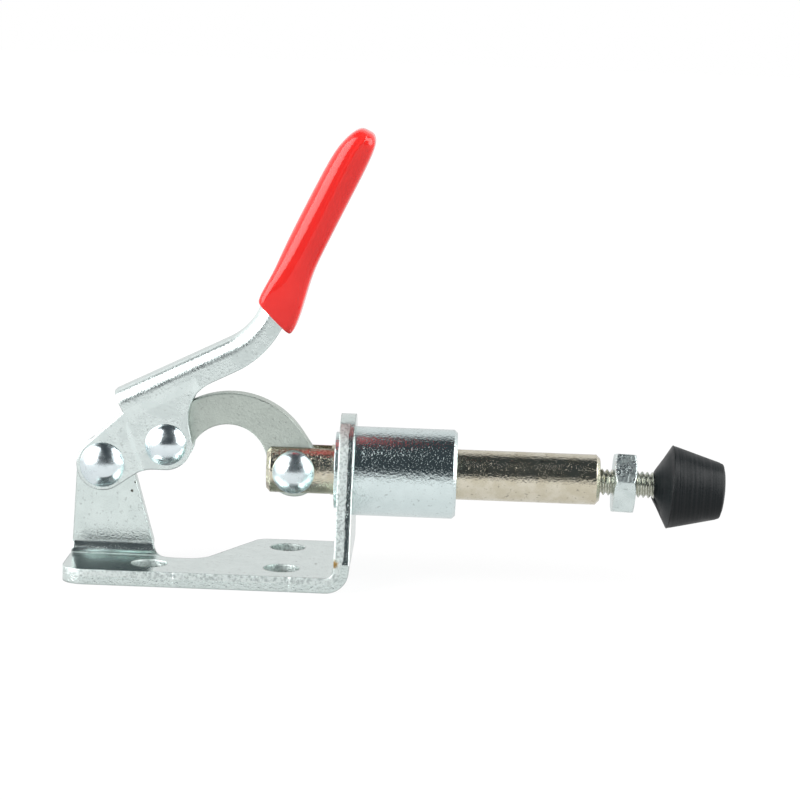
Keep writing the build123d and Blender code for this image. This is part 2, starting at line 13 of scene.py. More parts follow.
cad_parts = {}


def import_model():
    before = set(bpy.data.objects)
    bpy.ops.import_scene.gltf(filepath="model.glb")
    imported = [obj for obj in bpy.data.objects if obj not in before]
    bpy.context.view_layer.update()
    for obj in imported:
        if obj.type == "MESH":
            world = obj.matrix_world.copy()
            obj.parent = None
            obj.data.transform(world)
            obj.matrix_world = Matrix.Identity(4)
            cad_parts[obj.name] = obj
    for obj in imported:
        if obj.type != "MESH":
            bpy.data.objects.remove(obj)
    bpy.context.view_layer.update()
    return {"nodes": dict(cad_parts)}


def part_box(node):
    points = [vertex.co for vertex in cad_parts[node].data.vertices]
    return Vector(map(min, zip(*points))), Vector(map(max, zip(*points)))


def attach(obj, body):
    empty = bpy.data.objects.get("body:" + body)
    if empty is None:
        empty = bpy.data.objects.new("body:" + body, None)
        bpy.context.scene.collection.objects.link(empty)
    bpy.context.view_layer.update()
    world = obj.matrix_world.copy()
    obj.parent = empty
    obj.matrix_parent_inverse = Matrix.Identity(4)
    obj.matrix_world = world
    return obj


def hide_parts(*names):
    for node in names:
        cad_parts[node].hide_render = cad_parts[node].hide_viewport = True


log = logging.getLogger("toggle_clamp")

MM = 0.001

Colour = tuple[float, float, float, float]
Pair = tuple[float, float]
Ring = list[bmesh.types.BMVert]
Socket = bpy.types.NodeSocket
Input = Union[bpy.types.NodeSocket, float, tuple[float, ...]]

BEVEL_SAMPLES = 6
SPECK_SPAN: Pair = (0.60, 0.72)      # cell values over which a dark speck fades in
BLOTCH_SPAN: Pair = (0.35, 0.65)     # mottle values over which the dull tone gives way to the bright one
MOTTLE_SPAN: Pair = (0.3, 0.7)       # mottle values over which roughness and the plastics' tones change
LINE_DETAIL = 3.0
TEAR_BORDER = 0.08                   # share of the sheet over which a torn zone fades in
STREAK_SCALE = 1.5                   # streaks inside a torn zone, against its ragged border


class Lay(Enum):
    """Direction in which the fine marks of a surface run."""

    EVEN = "even"
    ROUND_PLUNGER = "round_plunger"


def opaque(red: float, green: float, blue: float) -> Colour:
    """Return an opaque colour from its three linear parts."""
    return (red, green, blue, 1.0)


def grey(tone: float) -> Colour:
    """Return an opaque grey."""
    return opaque(tone, tone, tone)


def shade(colour: Colour, factor: float) -> Colour:
    """Return a colour made lighter or darker, kept below white."""
    return opaque(*(min(1.0, factor * part) for part in colour[:3]))


@dataclass(frozen=True)
class Detail:
    """How finely a noise is divided, and how strong its finer parts are."""

    levels: float
    strength: float


FINE_GRAIN = Detail(3.0, 0.6)
BROAD_MOTTLE = Detail(4.0, 0.55)
SPECK_CELLS = Detail(2.0, 0.7)
RAGGED_BORDER = Detail(3.0, 0.6)
STREAKS = Detail(4.0, 0.7)


class NodeSheet:
    """A small helper that places and joins the nodes of one tree."""

    def __init__(self, tree: bpy.types.NodeTree) -> None:
        """Keep the tree that the nodes go into."""
        self.tree = tree
        self.count = 0

    def add(self, kind: str, **settings: object) -> bpy.types.Node:
        """Add a node and set its properties.

        Args:
            kind: Blender's type name of the node.
            **settings: properties to set on it.

        Returns:
            The new node.
        """
        node = self.tree.nodes.new(kind)
        node.location = (220 * self.count, 0)
        self.count += 1
        for name, value in settings.items():
            setattr(node, name, value)
        return node

    def join(self, source: Socket, target: Socket) -> None:
        """Link one socket to another."""
        self.tree.links.new(source, target)

    def feed(self, target: Socket, value: Input) -> None:
        """Link a socket, or set it where the value is a plain number, vector or colour.

        Args:
            target: the input to fill.
            value: what goes into it.
        """
        if isinstance(value, bpy.types.NodeSocket):
            self.join(value, target)
        else:
            target.default_value = value

    def place(self) -> Socket:
        """Return where the shaded point lies, in the clamp's own coordinates."""
        return self.add("ShaderNodeTexCoord").outputs["Object"]

    def split(self, vector: Socket) -> dict[str, Socket]:
        """Take a vector apart.

        Args:
            vector: the vector.

        Returns:
            Its three parts by the name of their axis.
        """
        node = self.add("ShaderNodeSeparateXYZ")
        self.join(vector, node.inputs["Vector"])
        return {axis: node.outputs[axis] for axis in "XYZ"}

    def math(self, operation: str, *values: Input, clamp: bool = False) -> Socket:
        """Add a math node.

        Args:
            operation: name of the operation.
            *values: sockets or numbers for its inputs.
            clamp: whether the result is kept between 0 and 1.

        Returns:
            The node's output.
        """
        node = self.add("ShaderNodeMath", operation=operation, use_clamp=clamp)
        for socket, value in zip(node.inputs, values):
            self.feed(socket, value)
        return node.outputs[0]

    def ramp(
        self, value: Input, span: tuple[Input, Input], results: tuple[Input, Input] = (0.0, 1.0)
    ) -> Socket:
        """Add a smooth step.

        Args:
            value: what the step follows.
            span: the values at which it starts and ends.
            results: what it gives before and after.

        Returns:
            The stepped value.
        """
        node = self.add("ShaderNodeMapRange", interpolation_type="SMOOTHSTEP", clamp=True)
        names = ("Value", "From Min", "From Max", "To Min", "To Max")
        for name, part in zip(names, (value, *span, *results)):
            self.feed(node.inputs[name], part)
        return node.outputs["Result"]

    def mix(self, amount: Input, first: Input, second: Input) -> Socket:
        """Blend two colours.

        Args:
            amount: 0 for the first colour, 1 for the second.
            first: a colour.
            second: the other colour.

        Returns:
            The blended colour.
        """
        node = self.add("ShaderNodeMix", data_type="RGBA")
        for place, value in ((0, amount), (6, first), (7, second)):
            self.feed(node.inputs[place], value)
        return node.outputs[2]

    def lerp(self, amount: Input, first: Input, second: Input) -> Socket:
        """Blend two values.

        Args:
            amount: 0 for the first value, 1 for the second.
            first: a value.
            second: the other value.

        Returns:
            The blended value.
        """
        node = self.add("ShaderNodeMix", data_type="FLOAT")
        for place, value in ((0, amount), (2, first), (3, second)):
            self.feed(node.inputs[place], value)
        return node.outputs[0]

    def noise(self, vector: Socket, scale: Input, detail: Detail) -> Socket:
        """Add a noise texture.

        Args:
            vector: where the noise is read.
            scale: its repeats per metre.
            detail: how fine it goes.

        Returns:
            Its value.
        """
        node = self.add("ShaderNodeTexNoise", noise_dimensions="3D")
        self.feed(node.inputs["Vector"], vector)
        self.feed(node.inputs["Scale"], scale)
        self.feed(node.inputs["Detail"], detail.levels)
        self.feed(node.inputs["Roughness"], detail.strength)
        return node.outputs["Fac"]

    def bump(self, height: Socket, relief: float, normal: Socket | None = None) -> Socket:
        """Turn a height into a normal.

        Args:
            height: the height, without a unit.
            relief: what a height of 1 stands for, in metres.
            normal: the normal to start from, or none for the mesh's own.

        Returns:
            The new normal.
        """
        node = self.add("ShaderNodeBump")
        node.inputs["Strength"].default_value = 1.0
        node.inputs["Distance"].default_value = relief
        self.join(height, node.inputs["Height"])
        if normal is not None:
            self.join(normal, node.inputs["Normal"])
        return node.outputs["Normal"]

    def principled(self, inputs: dict[str, Input]) -> Socket:
        """Add the main surface shader.

        Args:
            inputs: what its sockets hold, by name.

        Returns:
            The shader's output.
        """
        node = self.add("ShaderNodeBsdfPrincipled")
        for name, value in inputs.items():
            self.feed(node.inputs[name], value)
        return node.outputs["BSDF"]

    def give(self, results: dict[str, Socket]) -> None:
        """Send values to a group's outputs.

        Args:
            results: each value by the name of its output.
        """
        node = self.add("NodeGroupOutput")
        for name, value in results.items():
            self.join(value, node.inputs[name])

    def show(self, surface: Socket, kind: str = "ShaderNodeOutputMaterial") -> None:
        """Send a shader to the tree's own output."""
        self.join(surface, self.add(kind).inputs["Surface"])


def new_material(name: str) -> tuple[bpy.types.Material, NodeSheet]:
    """Start an empty material.

    Args:
        name: name of the material.

    Returns:
        The material and a sheet to fill it with.
    """
    material = bpy.data.materials.new(name)
    material.use_nodes = True
    material.node_tree.nodes.clear()
    return material, NodeSheet(material.node_tree)


def new_group(
    name: str, inputs: dict[str, float], outputs: dict[str, str]
) -> tuple[bpy.types.NodeTree, NodeSheet, bpy.types.Node]:
    """Start a shader node group with named sockets.

    Args:
        name: name of the group.
        inputs: each value input with its default.
        outputs: each output with its socket type.

    Returns:
        The group, a sheet to fill it with and the node that holds its inputs.
    """
    group = bpy.data.node_groups.new(name, "ShaderNodeTree")
    for label, value in inputs.items():
        socket = group.interface.new_socket(label, in_out="INPUT", socket_type="NodeSocketFloat")
        socket.default_value = value
    for label, kind in outputs.items():
        group.interface.new_socket(label, in_out="OUTPUT", socket_type=kind)
    sheet = NodeSheet(group)
    return group, sheet, sheet.add("NodeGroupInput")


def edge_group() -> bpy.types.NodeTree:
    """Build the group that softens sharp edges and masks them, for wear and for painted shade along them.

    Returns:
        The group.
    """
    group, sheet, given = new_group(
        "Edges for wear and painted shade",
        {"Radius": 0.3 * MM, "Gain": 4.0},
        {"Mask": "NodeSocketFloat", "Normal": "NodeSocketVector"},
    )
    bevel = sheet.add("ShaderNodeBevel", samples=BEVEL_SAMPLES)
    sheet.join(given.outputs["Radius"], bevel.inputs["Radius"])
    here = sheet.add("ShaderNodeNewGeometry")
    dot = sheet.add("ShaderNodeVectorMath", operation="DOT_PRODUCT")
    sheet.join(bevel.outputs["Normal"], dot.inputs[0])
    sheet.join(here.outputs["Normal"], dot.inputs[1])
    turned = sheet.math("SUBTRACT", 1.0, dot.outputs["Value"])
    mask = sheet.math("MULTIPLY", turned, given.outputs["Gain"], clamp=True)
    sheet.give({"Mask": mask, "Normal": bevel.outputs["Normal"]})
    return group


def grain_group() -> bpy.types.NodeTree:
    """Build the group for plated grain: soft mottling, fine pits and scattered dark specks.

    Returns:
        The group.
    """
    group, sheet, given = new_group(
        "Plated grain",
        {"Grain": 2500.0, "Mottle": 300.0, "Speck": 1500.0},
        {"Height": "NodeSocketFloat", "Mottle": "NodeSocketFloat", "Specks": "NodeSocketFloat"},
    )
    place = sheet.place()
    fine = sheet.noise(place, given.outputs["Grain"], FINE_GRAIN)
    broad = sheet.noise(place, given.outputs["Mottle"], BROAD_MOTTLE)
    cells = sheet.noise(place, given.outputs["Speck"], SPECK_CELLS)
    sheet.give({"Height": fine, "Mottle": broad, "Specks": sheet.ramp(cells, SPECK_SPAN)})
    return group


def lathe_group() -> bpy.types.NodeTree:
    """Build the group for fine lines turned round the plunger's axis.

    Returns:
        The group.
    """
    group, sheet, given = new_group("Turned lines", {"Lines": 4000.0}, {"Height": "NodeSocketFloat"})
    line = sheet.add("ShaderNodeTexNoise", noise_dimensions="1D")
    sheet.join(sheet.split(sheet.place())["X"], line.inputs["W"])
    sheet.join(given.outputs["Lines"], line.inputs["Scale"])
    line.inputs["Detail"].default_value = LINE_DETAIL
    sheet.give({"Height": line.outputs["Fac"]})
    return group


def tear_group() -> bpy.types.NodeTree:
    """Build the group for a torn zone: its ragged border and the coarse streaks inside it.

    Returns:
        The group.
    """
    group, sheet, given = new_group(
        "Torn zone",
        {"Depth": 0.0, "Start": 0.55, "Ragged": 0.25, "Coarse": 1500.0},
        {"Mask": "NodeSocketFloat", "Height": "NodeSocketFloat"},
    )
    place = sheet.place()
    start, coarse = given.outputs["Start"], given.outputs["Coarse"]
    border = sheet.noise(place, coarse, RAGGED_BORDER)
    shift = sheet.math("MULTIPLY", sheet.math("SUBTRACT", border, 0.5), given.outputs["Ragged"])
    depth = sheet.math("ADD", given.outputs["Depth"], sheet.math("MULTIPLY", shift, 2.0))
    mask = sheet.ramp(depth, (start, sheet.math("ADD", start, TEAR_BORDER)))
    streaks = sheet.noise(place, sheet.math("MULTIPLY", coarse, STREAK_SCALE), STREAKS)
    sheet.give({"Mask": mask, "Height": streaks})
    return group


class Effects:
    """The node groups that several finishes share, each built once."""

    def __init__(self) -> None:
        """Build every shared group."""
        self.edges = edge_group()
        self.grain = grain_group()
        self.lathe = lathe_group()
        self.tear = tear_group()

    def place(self, sheet: NodeSheet, group: bpy.types.NodeTree, **values: Input) -> dict[str, Socket]:
        """Put a group into a material with its own values.

        Args:
            sheet: the material's nodes.
            group: the group to place.
            **values: its inputs by name.

        Returns:
            The group's outputs by name.
        """
        node = sheet.add("ShaderNodeGroup")
        node.node_tree = group
        for name, value in values.items():
            sheet.feed(node.inputs[name], value)
        return {socket.name: socket for socket in node.outputs}


@dataclass
class Surface:
    """The sockets that describe a surface while its material is being put together."""

    colour: Socket
    roughness: Socket
    height: Socket
    normal: Socket


@dataclass(frozen=True)
class Plating:
    """A plated steel finish.

    The colours are linear. Grain, mottling and lines are given as repeats per metre, relief and edge radius
    in metres. The dull tone is the rougher one.
    """

    name: str
    bright: Colour
    dull: Colour
    smooth: float
    rough: float
    grain: float = 2600.0
    mottle: float = 420.0
    relief: float = 0.05 * MM
    speck: float = 0.35
    speck_scale: float = 0.55
    speck_tone: float = 0.35
    edge_radius: float = 0.35 * MM
    edge_gain: float = 4.0
    # edge tone below 1 paints shade along the edges, a darker tint standing in for the dark reflection of
    # their rounding; above 1 it lightens them
    edge_tone: float = 0.62
    edge_wear_and_shade: float = 0.7
    lay: Lay = Lay.EVEN
    lines: float = 0.0
    line_weight: float = 0.06

    def build(self, effects: Effects) -> bpy.types.Material:
        """Make the material.

        Args:
            effects: the shared node groups.

        Returns:
            The finished material.
        """
        material, sheet = new_material(self.name)
        surface = self.dress(sheet, effects, self.plate(sheet, effects))
        shader = sheet.principled({
            "Metallic": 1.0,
            "Base Color": surface.colour,
            "Roughness": surface.roughness,
            "Normal": sheet.bump(surface.height, self.relief, surface.normal),
        })
        sheet.show(shader)
        return material

    def plate(self, sheet: NodeSheet, effects: Effects) -> Surface:
        """Put the even plated surface together from the shared groups.

        Args:
            sheet: the material's nodes.
            effects: the shared node groups.

        Returns:
            Its colour, roughness, relief and normal.
        """
        speckle = self.grain * self.speck_scale
        grain = effects.place(sheet, effects.grain, Grain=self.grain, Mottle=self.mottle, Speck=speckle)
        edges = effects.place(sheet, effects.edges, Radius=self.edge_radius, Gain=self.edge_gain)
        body = sheet.mix(sheet.ramp(grain["Mottle"], BLOTCH_SPAN), self.dull, self.bright)
        specks = sheet.math("MULTIPLY", grain["Specks"], self.speck)
        body = sheet.mix(specks, body, shade(self.dull, self.speck_tone))
        # painted shade along the edges: tinted by the edge tone, darker below 1 and lighter above it
        worn_and_shaded = sheet.math("MULTIPLY", edges["Mask"], self.edge_wear_and_shade)
        body = sheet.mix(worn_and_shaded, body, shade(self.bright, self.edge_tone))
        roughness = sheet.ramp(grain["Mottle"], MOTTLE_SPAN, (self.rough, self.smooth))
        height = grain["Height"]
        if self.lay is Lay.ROUND_PLUNGER:
            turned = effects.place(sheet, effects.lathe, Lines=self.lines)
            height = sheet.math("ADD", height, sheet.math("MULTIPLY", turned["Height"], self.line_weight))
        return Surface(body, roughness, height, edges["Normal"])

    def dress(self, sheet: NodeSheet, effects: Effects, surface: Surface) -> Surface:
        """Change the even surface where a part needs more; this one leaves it as it is."""
        return surface


@dataclass(frozen=True)
class Spot:
    """A small stain on the frame."""

    place: tuple[float, float, float]
    radius: float
    colour: Colour


@dataclass(frozen=True)
class Stamping(Plating):
    """The plated sheet of the frame, with the torn half of its sheared edges and a few stains.

    Each bend is given by the middle of its round, whose height above the table is also its outer radius. The
    front tear is how much deeper the torn zone lies on the upright plate.
    """

    thickness: float = 2.4 * MM
    bend_x: float = 7.2 * MM
    bend_z: float = 3.6 * MM
    ear_y: float = -3.2 * MM
    ear_z: float = 4.4 * MM
    ear_end_x: float = -17.0 * MM
    above_base: float = 1.02           # thicknesses above the table where the flat base counts as left
    level_limit: float = 0.45          # part of a normal below which a face counts as lying along an axis
    tear_start: float = 0.50
    tear_ragged: float = 0.16
    front_tear: float = 0.17
    front_rise: Pair = (3.0 * MM, 6.0 * MM)
    torn: Colour = opaque(0.76, 0.83, 0.81)
    torn_deep: Colour = opaque(0.44, 0.50, 0.49)
    torn_rough: float = 0.42
    torn_relief: float = 4.2
    cut_relief: float = 3.2
    streak_span: Pair = (0.36, 0.56)
    seams: tuple[float, ...] = (-16.4 * MM, 1.7 * MM)
    seam_width: float = 0.22 * MM
    seam_relief: float = 3.0
    spots: tuple[Spot, ...] = (
        Spot((8.45 * MM, -14.0 * MM, 4.7 * MM), 0.85 * MM, opaque(0.33, 0.22, 0.08)),
        Spot((5.2 * MM, -3.9 * MM, 2.4 * MM), 0.30 * MM, opaque(0.10, 0.09, 0.08)),
        Spot((2.0 * MM, -2.6 * MM, 2.4 * MM), 0.18 * MM, opaque(0.08, 0.08, 0.08)),
        Spot((-24.6 * MM, -1.2 * MM, 12.6 * MM), 0.30 * MM, opaque(0.12, 0.11, 0.09)),
        Spot((-24.1 * MM, -1.2 * MM, 14.0 * MM), 0.22 * MM, opaque(0.14, 0.13, 0.11)),
    )
    spot_rough: float = 0.7
    spot_grain: float = 4000.0
    spot_border: Pair = (1.5, 0.9)     # radii at which a stain starts and is full

    def dress(self, sheet: NodeSheet, effects: Effects, surface: Surface) -> Surface:
        """Add the torn zone of the cut edges, the seams between punch strokes and the stains.

        Args:
            sheet: the material's nodes.
            effects: the shared node groups.
            surface: the even plated surface.

        Returns:
            The changed surface.
        """
        place = sheet.place()
        depth, cut = self.cut_edges(sheet, place)
        tear = effects.place(sheet, effects.tear, Depth=depth, Start=self.tear_start, Ragged=self.tear_ragged)
        torn = sheet.math("MULTIPLY", tear["Mask"], cut)
        streaks = sheet.ramp(tear["Height"], self.streak_span)
        colour = sheet.mix(torn, surface.colour, sheet.mix(streaks, self.torn_deep, self.torn))
        roughness = sheet.lerp(torn, surface.roughness, self.torn_rough)
        deep = sheet.math("MULTIPLY", tear["Height"], self.torn_relief)
        fine = sheet.math("MULTIPLY", surface.height, sheet.lerp(cut, 1.0, self.cut_relief))
        seam = sheet.math("MULTIPLY", self.seam_mask(sheet, place), cut)
        proud = sheet.math("MULTIPLY", seam, self.seam_relief)
        height = sheet.math("ADD", sheet.lerp(torn, fine, deep), proud)
        for spot in self.spots:
            here = self.spot_mask(sheet, place, spot)
            colour = sheet.mix(here, colour, spot.colour)
            roughness = sheet.lerp(here, roughness, self.spot_rough)
        return Surface(colour, roughness, height, surface.normal)

    def cut_edges(self, sheet: NodeSheet, place: Socket) -> tuple[Socket, Socket]:
        """Find the sheared edges.

        Args:
            sheet: the material's nodes.
            place: where the shaded point is.

        Returns:
            How far through the sheet a point lies, 1 on the inside of the bends, and a mask of the cut edges.
        """
        at = sheet.split(place)
        facing = sheet.split(sheet.add("ShaderNodeNewGeometry").outputs["True Normal"])
        base_depth = self.through(sheet, at, ("X", self.bend_x), ("Z", self.bend_z))
        ear_depth = self.through(sheet, at, ("Y", self.ear_y), ("Z", self.ear_z))
        high = sheet.math("GREATER_THAN", at["Z"], self.thickness * self.above_base)
        on_ear = sheet.math("MULTIPLY", high, sheet.math("LESS_THAN", at["X"], self.ear_end_x))
        up_front = sheet.ramp(at["Z"], self.front_rise, (0.0, self.front_tear))
        depth = sheet.lerp(on_ear, sheet.math("ADD", base_depth, up_front), ear_depth)
        level = {
            axis: sheet.math("LESS_THAN", sheet.math("ABSOLUTE", part), self.level_limit)
            for axis, part in facing.items()
        }
        low = sheet.math("SUBTRACT", 1.0, high)
        flat_part = sheet.math("LESS_THAN", at["X"], self.bend_x)
        base_edge = sheet.math("MULTIPLY", sheet.math("MULTIPLY", low, flat_part), level["Z"])
        side_edge = sheet.math("MULTIPLY", sheet.math("SUBTRACT", 1.0, level["Y"]), level["X"])
        front_edge = sheet.math("MULTIPLY", sheet.math("SUBTRACT", 1.0, flat_part), side_edge)
        ear_edge = sheet.math("MULTIPLY", on_ear, level["Y"])
        return depth, sheet.math("MAXIMUM", sheet.math("MAXIMUM", base_edge, front_edge), ear_edge)

    def through(
        self, sheet: NodeSheet, at: dict[str, Socket], ahead: tuple[str, float], above: tuple[str, float]
    ) -> Socket:
        """Measure how far through a bent sheet a point lies.

        Args:
            sheet: the material's nodes.
            at: the point's coordinates.
            ahead: the axis that runs towards the bend, and the middle of its round on it.
            above: the axis that the sheet is bent up along, and the middle of its round on it.

        Returns:
            0 on the outside of the bend and 1 on its inside.
        """
        beyond = sheet.math("MAXIMUM", sheet.math("SUBTRACT", at[ahead[0]], ahead[1]), 0.0)
        below = sheet.math("MINIMUM", sheet.math("SUBTRACT", at[above[0]], above[1]), 0.0)
        squares = (sheet.math("MULTIPLY", part, part) for part in (beyond, below))
        inward = sheet.math("SUBTRACT", above[1], sheet.math("SQRT", sheet.math("ADD", *squares)))
        return sheet.math("DIVIDE", inward, self.thickness)

    def seam_mask(self, sheet: NodeSheet, place: Socket) -> Socket:
        """Mask the narrow seams between punch strokes.

        Args:
            sheet: the material's nodes.
            place: where the shaded point is.

        Returns:
            The mask.
        """
        along = sheet.split(place)["X"]
        mask: Input = 0.0
        for seam in self.seams:
            away = sheet.math("ABSOLUTE", sheet.math("SUBTRACT", along, seam))
            mask = sheet.math("MAXIMUM", mask, sheet.ramp(away, (self.seam_width, 0.0)))
        return mask

    def spot_mask(self, sheet: NodeSheet, place: Socket, spot: Spot) -> Socket:
        """Mask one stain with a ragged round.

        Args:
            sheet: the material's nodes.
            place: where the shaded point is.
            spot: the stain.

        Returns:
            The mask.
        """
        away = sheet.add("ShaderNodeVectorMath", operation="DISTANCE")
        sheet.join(place, away.inputs[0])
        away.inputs[1].default_value = spot.place
        ragged = sheet.math("MULTIPLY", sheet.noise(place, self.spot_grain, RAGGED_BORDER), spot.radius)
        outer, inner = self.spot_border
        border = (spot.radius * outer, spot.radius * inner)
        return sheet.ramp(sheet.math("ADD", away.outputs["Value"], ragged), border)


@dataclass(frozen=True)
class Vinyl:
    """Dipped glossy vinyl."""

    name: str = "red_vinyl_look"
    bright: Colour = opaque(0.95, 0.032, 0.026)
    deep: Colour = opaque(0.88, 0.024, 0.020)
    body_rough: float = 0.32
    body_shine: float = 0.1
    coat: float = 0.68
    coat_ior: float = 1.5
    coat_rough: float = 0.04
    glow: float = 0.15
    glow_reach: tuple[float, float, float] = (1.2 * MM, 0.3 * MM, 0.2 * MM)
    grain: float = 900.0
    mottle: float = 140.0
    speck: float = 1200.0
    relief: float = 0.012 * MM

    def build(self, effects: Effects) -> bpy.types.Material:
        """Make the material.

        Args:
            effects: the shared node groups.

        Returns:
            The finished material.
        """
        material, sheet = new_material(self.name)
        grain = effects.place(sheet, effects.grain, Grain=self.grain, Mottle=self.mottle, Speck=self.speck)
        tone = sheet.ramp(grain["Mottle"], MOTTLE_SPAN)
        shader = sheet.principled({
            "Base Color": sheet.mix(tone, self.deep, self.bright),
            "Roughness": self.body_rough,
            "Specular IOR Level": self.body_shine,
            "Coat Weight": self.coat,
            "Coat IOR": self.coat_ior,
            "Coat Roughness": self.coat_rough,
            "Subsurface Weight": self.glow,
            "Subsurface Radius": self.glow_reach,
            "Subsurface Scale": 1.0,
            "Normal": sheet.bump(grain["Mottle"], self.relief),
        })
        sheet.show(shader)
        return material


@dataclass(frozen=True)
class Rubber:
    """Dull black rubber with the fine lines of its mould."""

    name: str = "black_rubber_look"
    clean: Colour = opaque(0.003, 0.006, 0.007)
    dusty: Colour = opaque(0.016, 0.017, 0.019)
    worn_and_shaded: Colour = opaque(0.05, 0.05, 0.055)
    shine: float = 0.22
    rough: Pair = (0.36, 0.50)
    grain: float = 3200.0
    mottle: float = 400.0
    speck: float = 2400.0
    lines: float = 2600.0
    dust: float = 0.7
    dust_span: Pair = (0.35, 0.7)
    edge_radius: float = 0.3 * MM
    edge_gain: float = 3.0
    edge_wear_and_shade: float = 0.4
    grain_weight: float = 0.3
    relief: float = 0.025 * MM

    def build(self, effects: Effects) -> bpy.types.Material:
        """Make the material.

        Args:
            effects: the shared node groups.

        Returns:
            The finished material.
        """
        material, sheet = new_material(self.name)
        grain = effects.place(sheet, effects.grain, Grain=self.grain, Mottle=self.mottle, Speck=self.speck)
        lines = effects.place(sheet, effects.lathe, Lines=self.lines)
        edges = effects.place(sheet, effects.edges, Radius=self.edge_radius, Gain=self.edge_gain)
        dust = sheet.math("MULTIPLY", sheet.ramp(lines["Height"], self.dust_span), self.dust)
        body = sheet.mix(dust, self.clean, self.dusty)
        body = sheet.mix(sheet.math("MULTIPLY", edges["Mask"], self.edge_wear_and_shade), body, self.worn_and_shaded)
        fine = sheet.math("MULTIPLY", grain["Height"], self.grain_weight)
        height = sheet.math("ADD", fine, lines["Height"])
        shader = sheet.principled({
            "Base Color": body,
            "Roughness": sheet.ramp(grain["Mottle"], MOTTLE_SPAN, self.rough),
            "Specular IOR Level": self.shine,
            "Normal": sheet.bump(height, self.relief, edges["Normal"]),
        })
        sheet.show(shader)
        return material


class Finishes:
    """Every material of the clamp, by the part that wears it."""

    def __init__(self, effects: Effects) -> None:
        """Build the materials.

        Args:
            effects: the shared node groups.
        """
        self.stamping = Stamping(
            "stamping_look", opaque(0.735, 0.820, 0.800), opaque(0.700, 0.785, 0.765),
            smooth=0.15, rough=0.20, relief=0.03 * MM, edge_radius=0.45 * MM,
        ).build(effects)
        self.lever = Plating(
            "lever_look", opaque(0.770, 0.850, 0.835), opaque(0.725, 0.805, 0.790),
            smooth=0.23, rough=0.31, relief=0.035 * MM, edge_radius=0.45 * MM,
        ).build(effects)
        self.barrel = Plating(
            "barrel_look", opaque(0.735, 0.835, 0.835), opaque(0.700, 0.800, 0.800),
            smooth=0.09, rough=0.13, relief=0.09 * MM, edge_tone=1.0, edge_radius=0.2 * MM,
            lay=Lay.ROUND_PLUNGER, lines=3000.0,
        ).build(effects)
        self.rod = Plating(
            "rod_look", opaque(0.700, 0.660, 0.545), opaque(0.620, 0.575, 0.450),
            smooth=0.13, rough=0.20, relief=0.10 * MM, edge_tone=0.9, edge_radius=0.2 * MM,
            grain=2300.0, speck=0.5, lay=Lay.ROUND_PLUNGER, lines=5000.0,
        ).build(effects)
        self.link = Plating(
            "link_look", opaque(0.570, 0.630, 0.580), opaque(0.520, 0.575, 0.530),
            smooth=0.36, rough=0.46,
        ).build(effects)
        self.rivet = Plating(
            "rivet_look", opaque(0.780, 0.860, 0.890), opaque(0.720, 0.810, 0.840),
            smooth=0.13, rough=0.32, relief=0.012 * MM, edge_radius=0.15 * MM, speck=0.15,
        ).build(effects)
        self.satin_rivet = Plating(
            "satin_rivet_look", opaque(0.770, 0.850, 0.880), opaque(0.710, 0.800, 0.830),
            smooth=0.21, rough=0.31, relief=0.012 * MM, edge_radius=0.15 * MM, speck=0.12,
        ).build(effects)
        self.thread = Plating(
            "thread_look", opaque(0.66, 0.67, 0.60), opaque(0.52, 0.53, 0.47),
            smooth=0.20, rough=0.30, relief=0.02 * MM, edge_radius=0.06 * MM, speck=0.3,
        ).build(effects)
        self.nut = Plating(
            "nut_look", opaque(0.72, 0.80, 0.79), opaque(0.64, 0.72, 0.71),
            smooth=0.22, rough=0.32, relief=0.10 * MM, edge_tone=1.1, edge_radius=0.3 * MM,
        ).build(effects)
        self.vinyl = Vinyl().build(effects)
        self.rubber = Rubber().build(effects)


def paint(piece: bpy.types.Object, material: bpy.types.Material) -> None:
    """Give a piece one material all over."""
    piece.data.materials.clear()
    piece.data.materials.append(material)


@dataclass
class PaintedNodes:
    """CAD nodes whose shapes stay as they are and only get their finish."""

    nodes: dict[str, bpy.types.Object]
    finishes: Finishes

    def build(self) -> list[str]:
        """Paint every such node.

        Returns:
            Their names.
        """
        looks = {
            "frame": self.finishes.stamping,
            "guide_barrel": self.finishes.barrel,
            "handle_lever": self.finishes.lever,
            "link": self.finishes.link,
            "plunger_rod": self.finishes.rod,
            "lock_nut": self.finishes.nut,
        }
        for name, material in looks.items():
            paint(self.nodes[name], material)
        return list(looks)


def bridge(shape: bmesh.types.BMesh, rings: list[Ring]) -> None:
    """Join each closed ring of points to the next one with faces.

    Args:
        shape: the mesh that the rings are in.
        rings: the rings in order, all with as many points.
    """
    for low, high in zip(rings, rings[1:]):
        for step, corner in enumerate(low):
            after = (step + 1) % len(low)
            shape.faces.new((corner, low[after], high[after], high[step]))


def cap(shape: bmesh.types.BMesh, ring: Ring, centre: Vector, flip: bool) -> None:
    """Close a ring of points with a fan of faces.

    Args:
        shape: the mesh that the ring is in.
        ring: the ring's points.
        centre: where the fan's middle goes.
        flip: whether the faces turn the other way.
    """
    middle = shape.verts.new(centre)
    for step, corner in enumerate(ring):
        after = ring[(step + 1) % len(ring)]
        shape.faces.new((after, corner, middle) if flip else (corner, after, middle))


def turned_ring(
    shape: bmesh.types.BMesh, place: Matrix, radii: list[float], along: float, start: float = 0.0
) -> Ring:
    """Add a ring of points round the local Z axis.

    Args:
        shape: the mesh to add to.
        place: the placing of the local axes.
        radii: how far each point in turn lies from the axis.
        along: how far the ring lies along the axis.
        start: angle of the first point, in radians.

    Returns:
        The ring.
    """
    ring = []
    for step, radius in enumerate(radii):
        angle = start + 2 * math.pi * step / len(radii)
        point = Vector((radius * math.cos(angle), radius * math.sin(angle), along))
        ring.append(shape.verts.new(place @ point))
    return ring


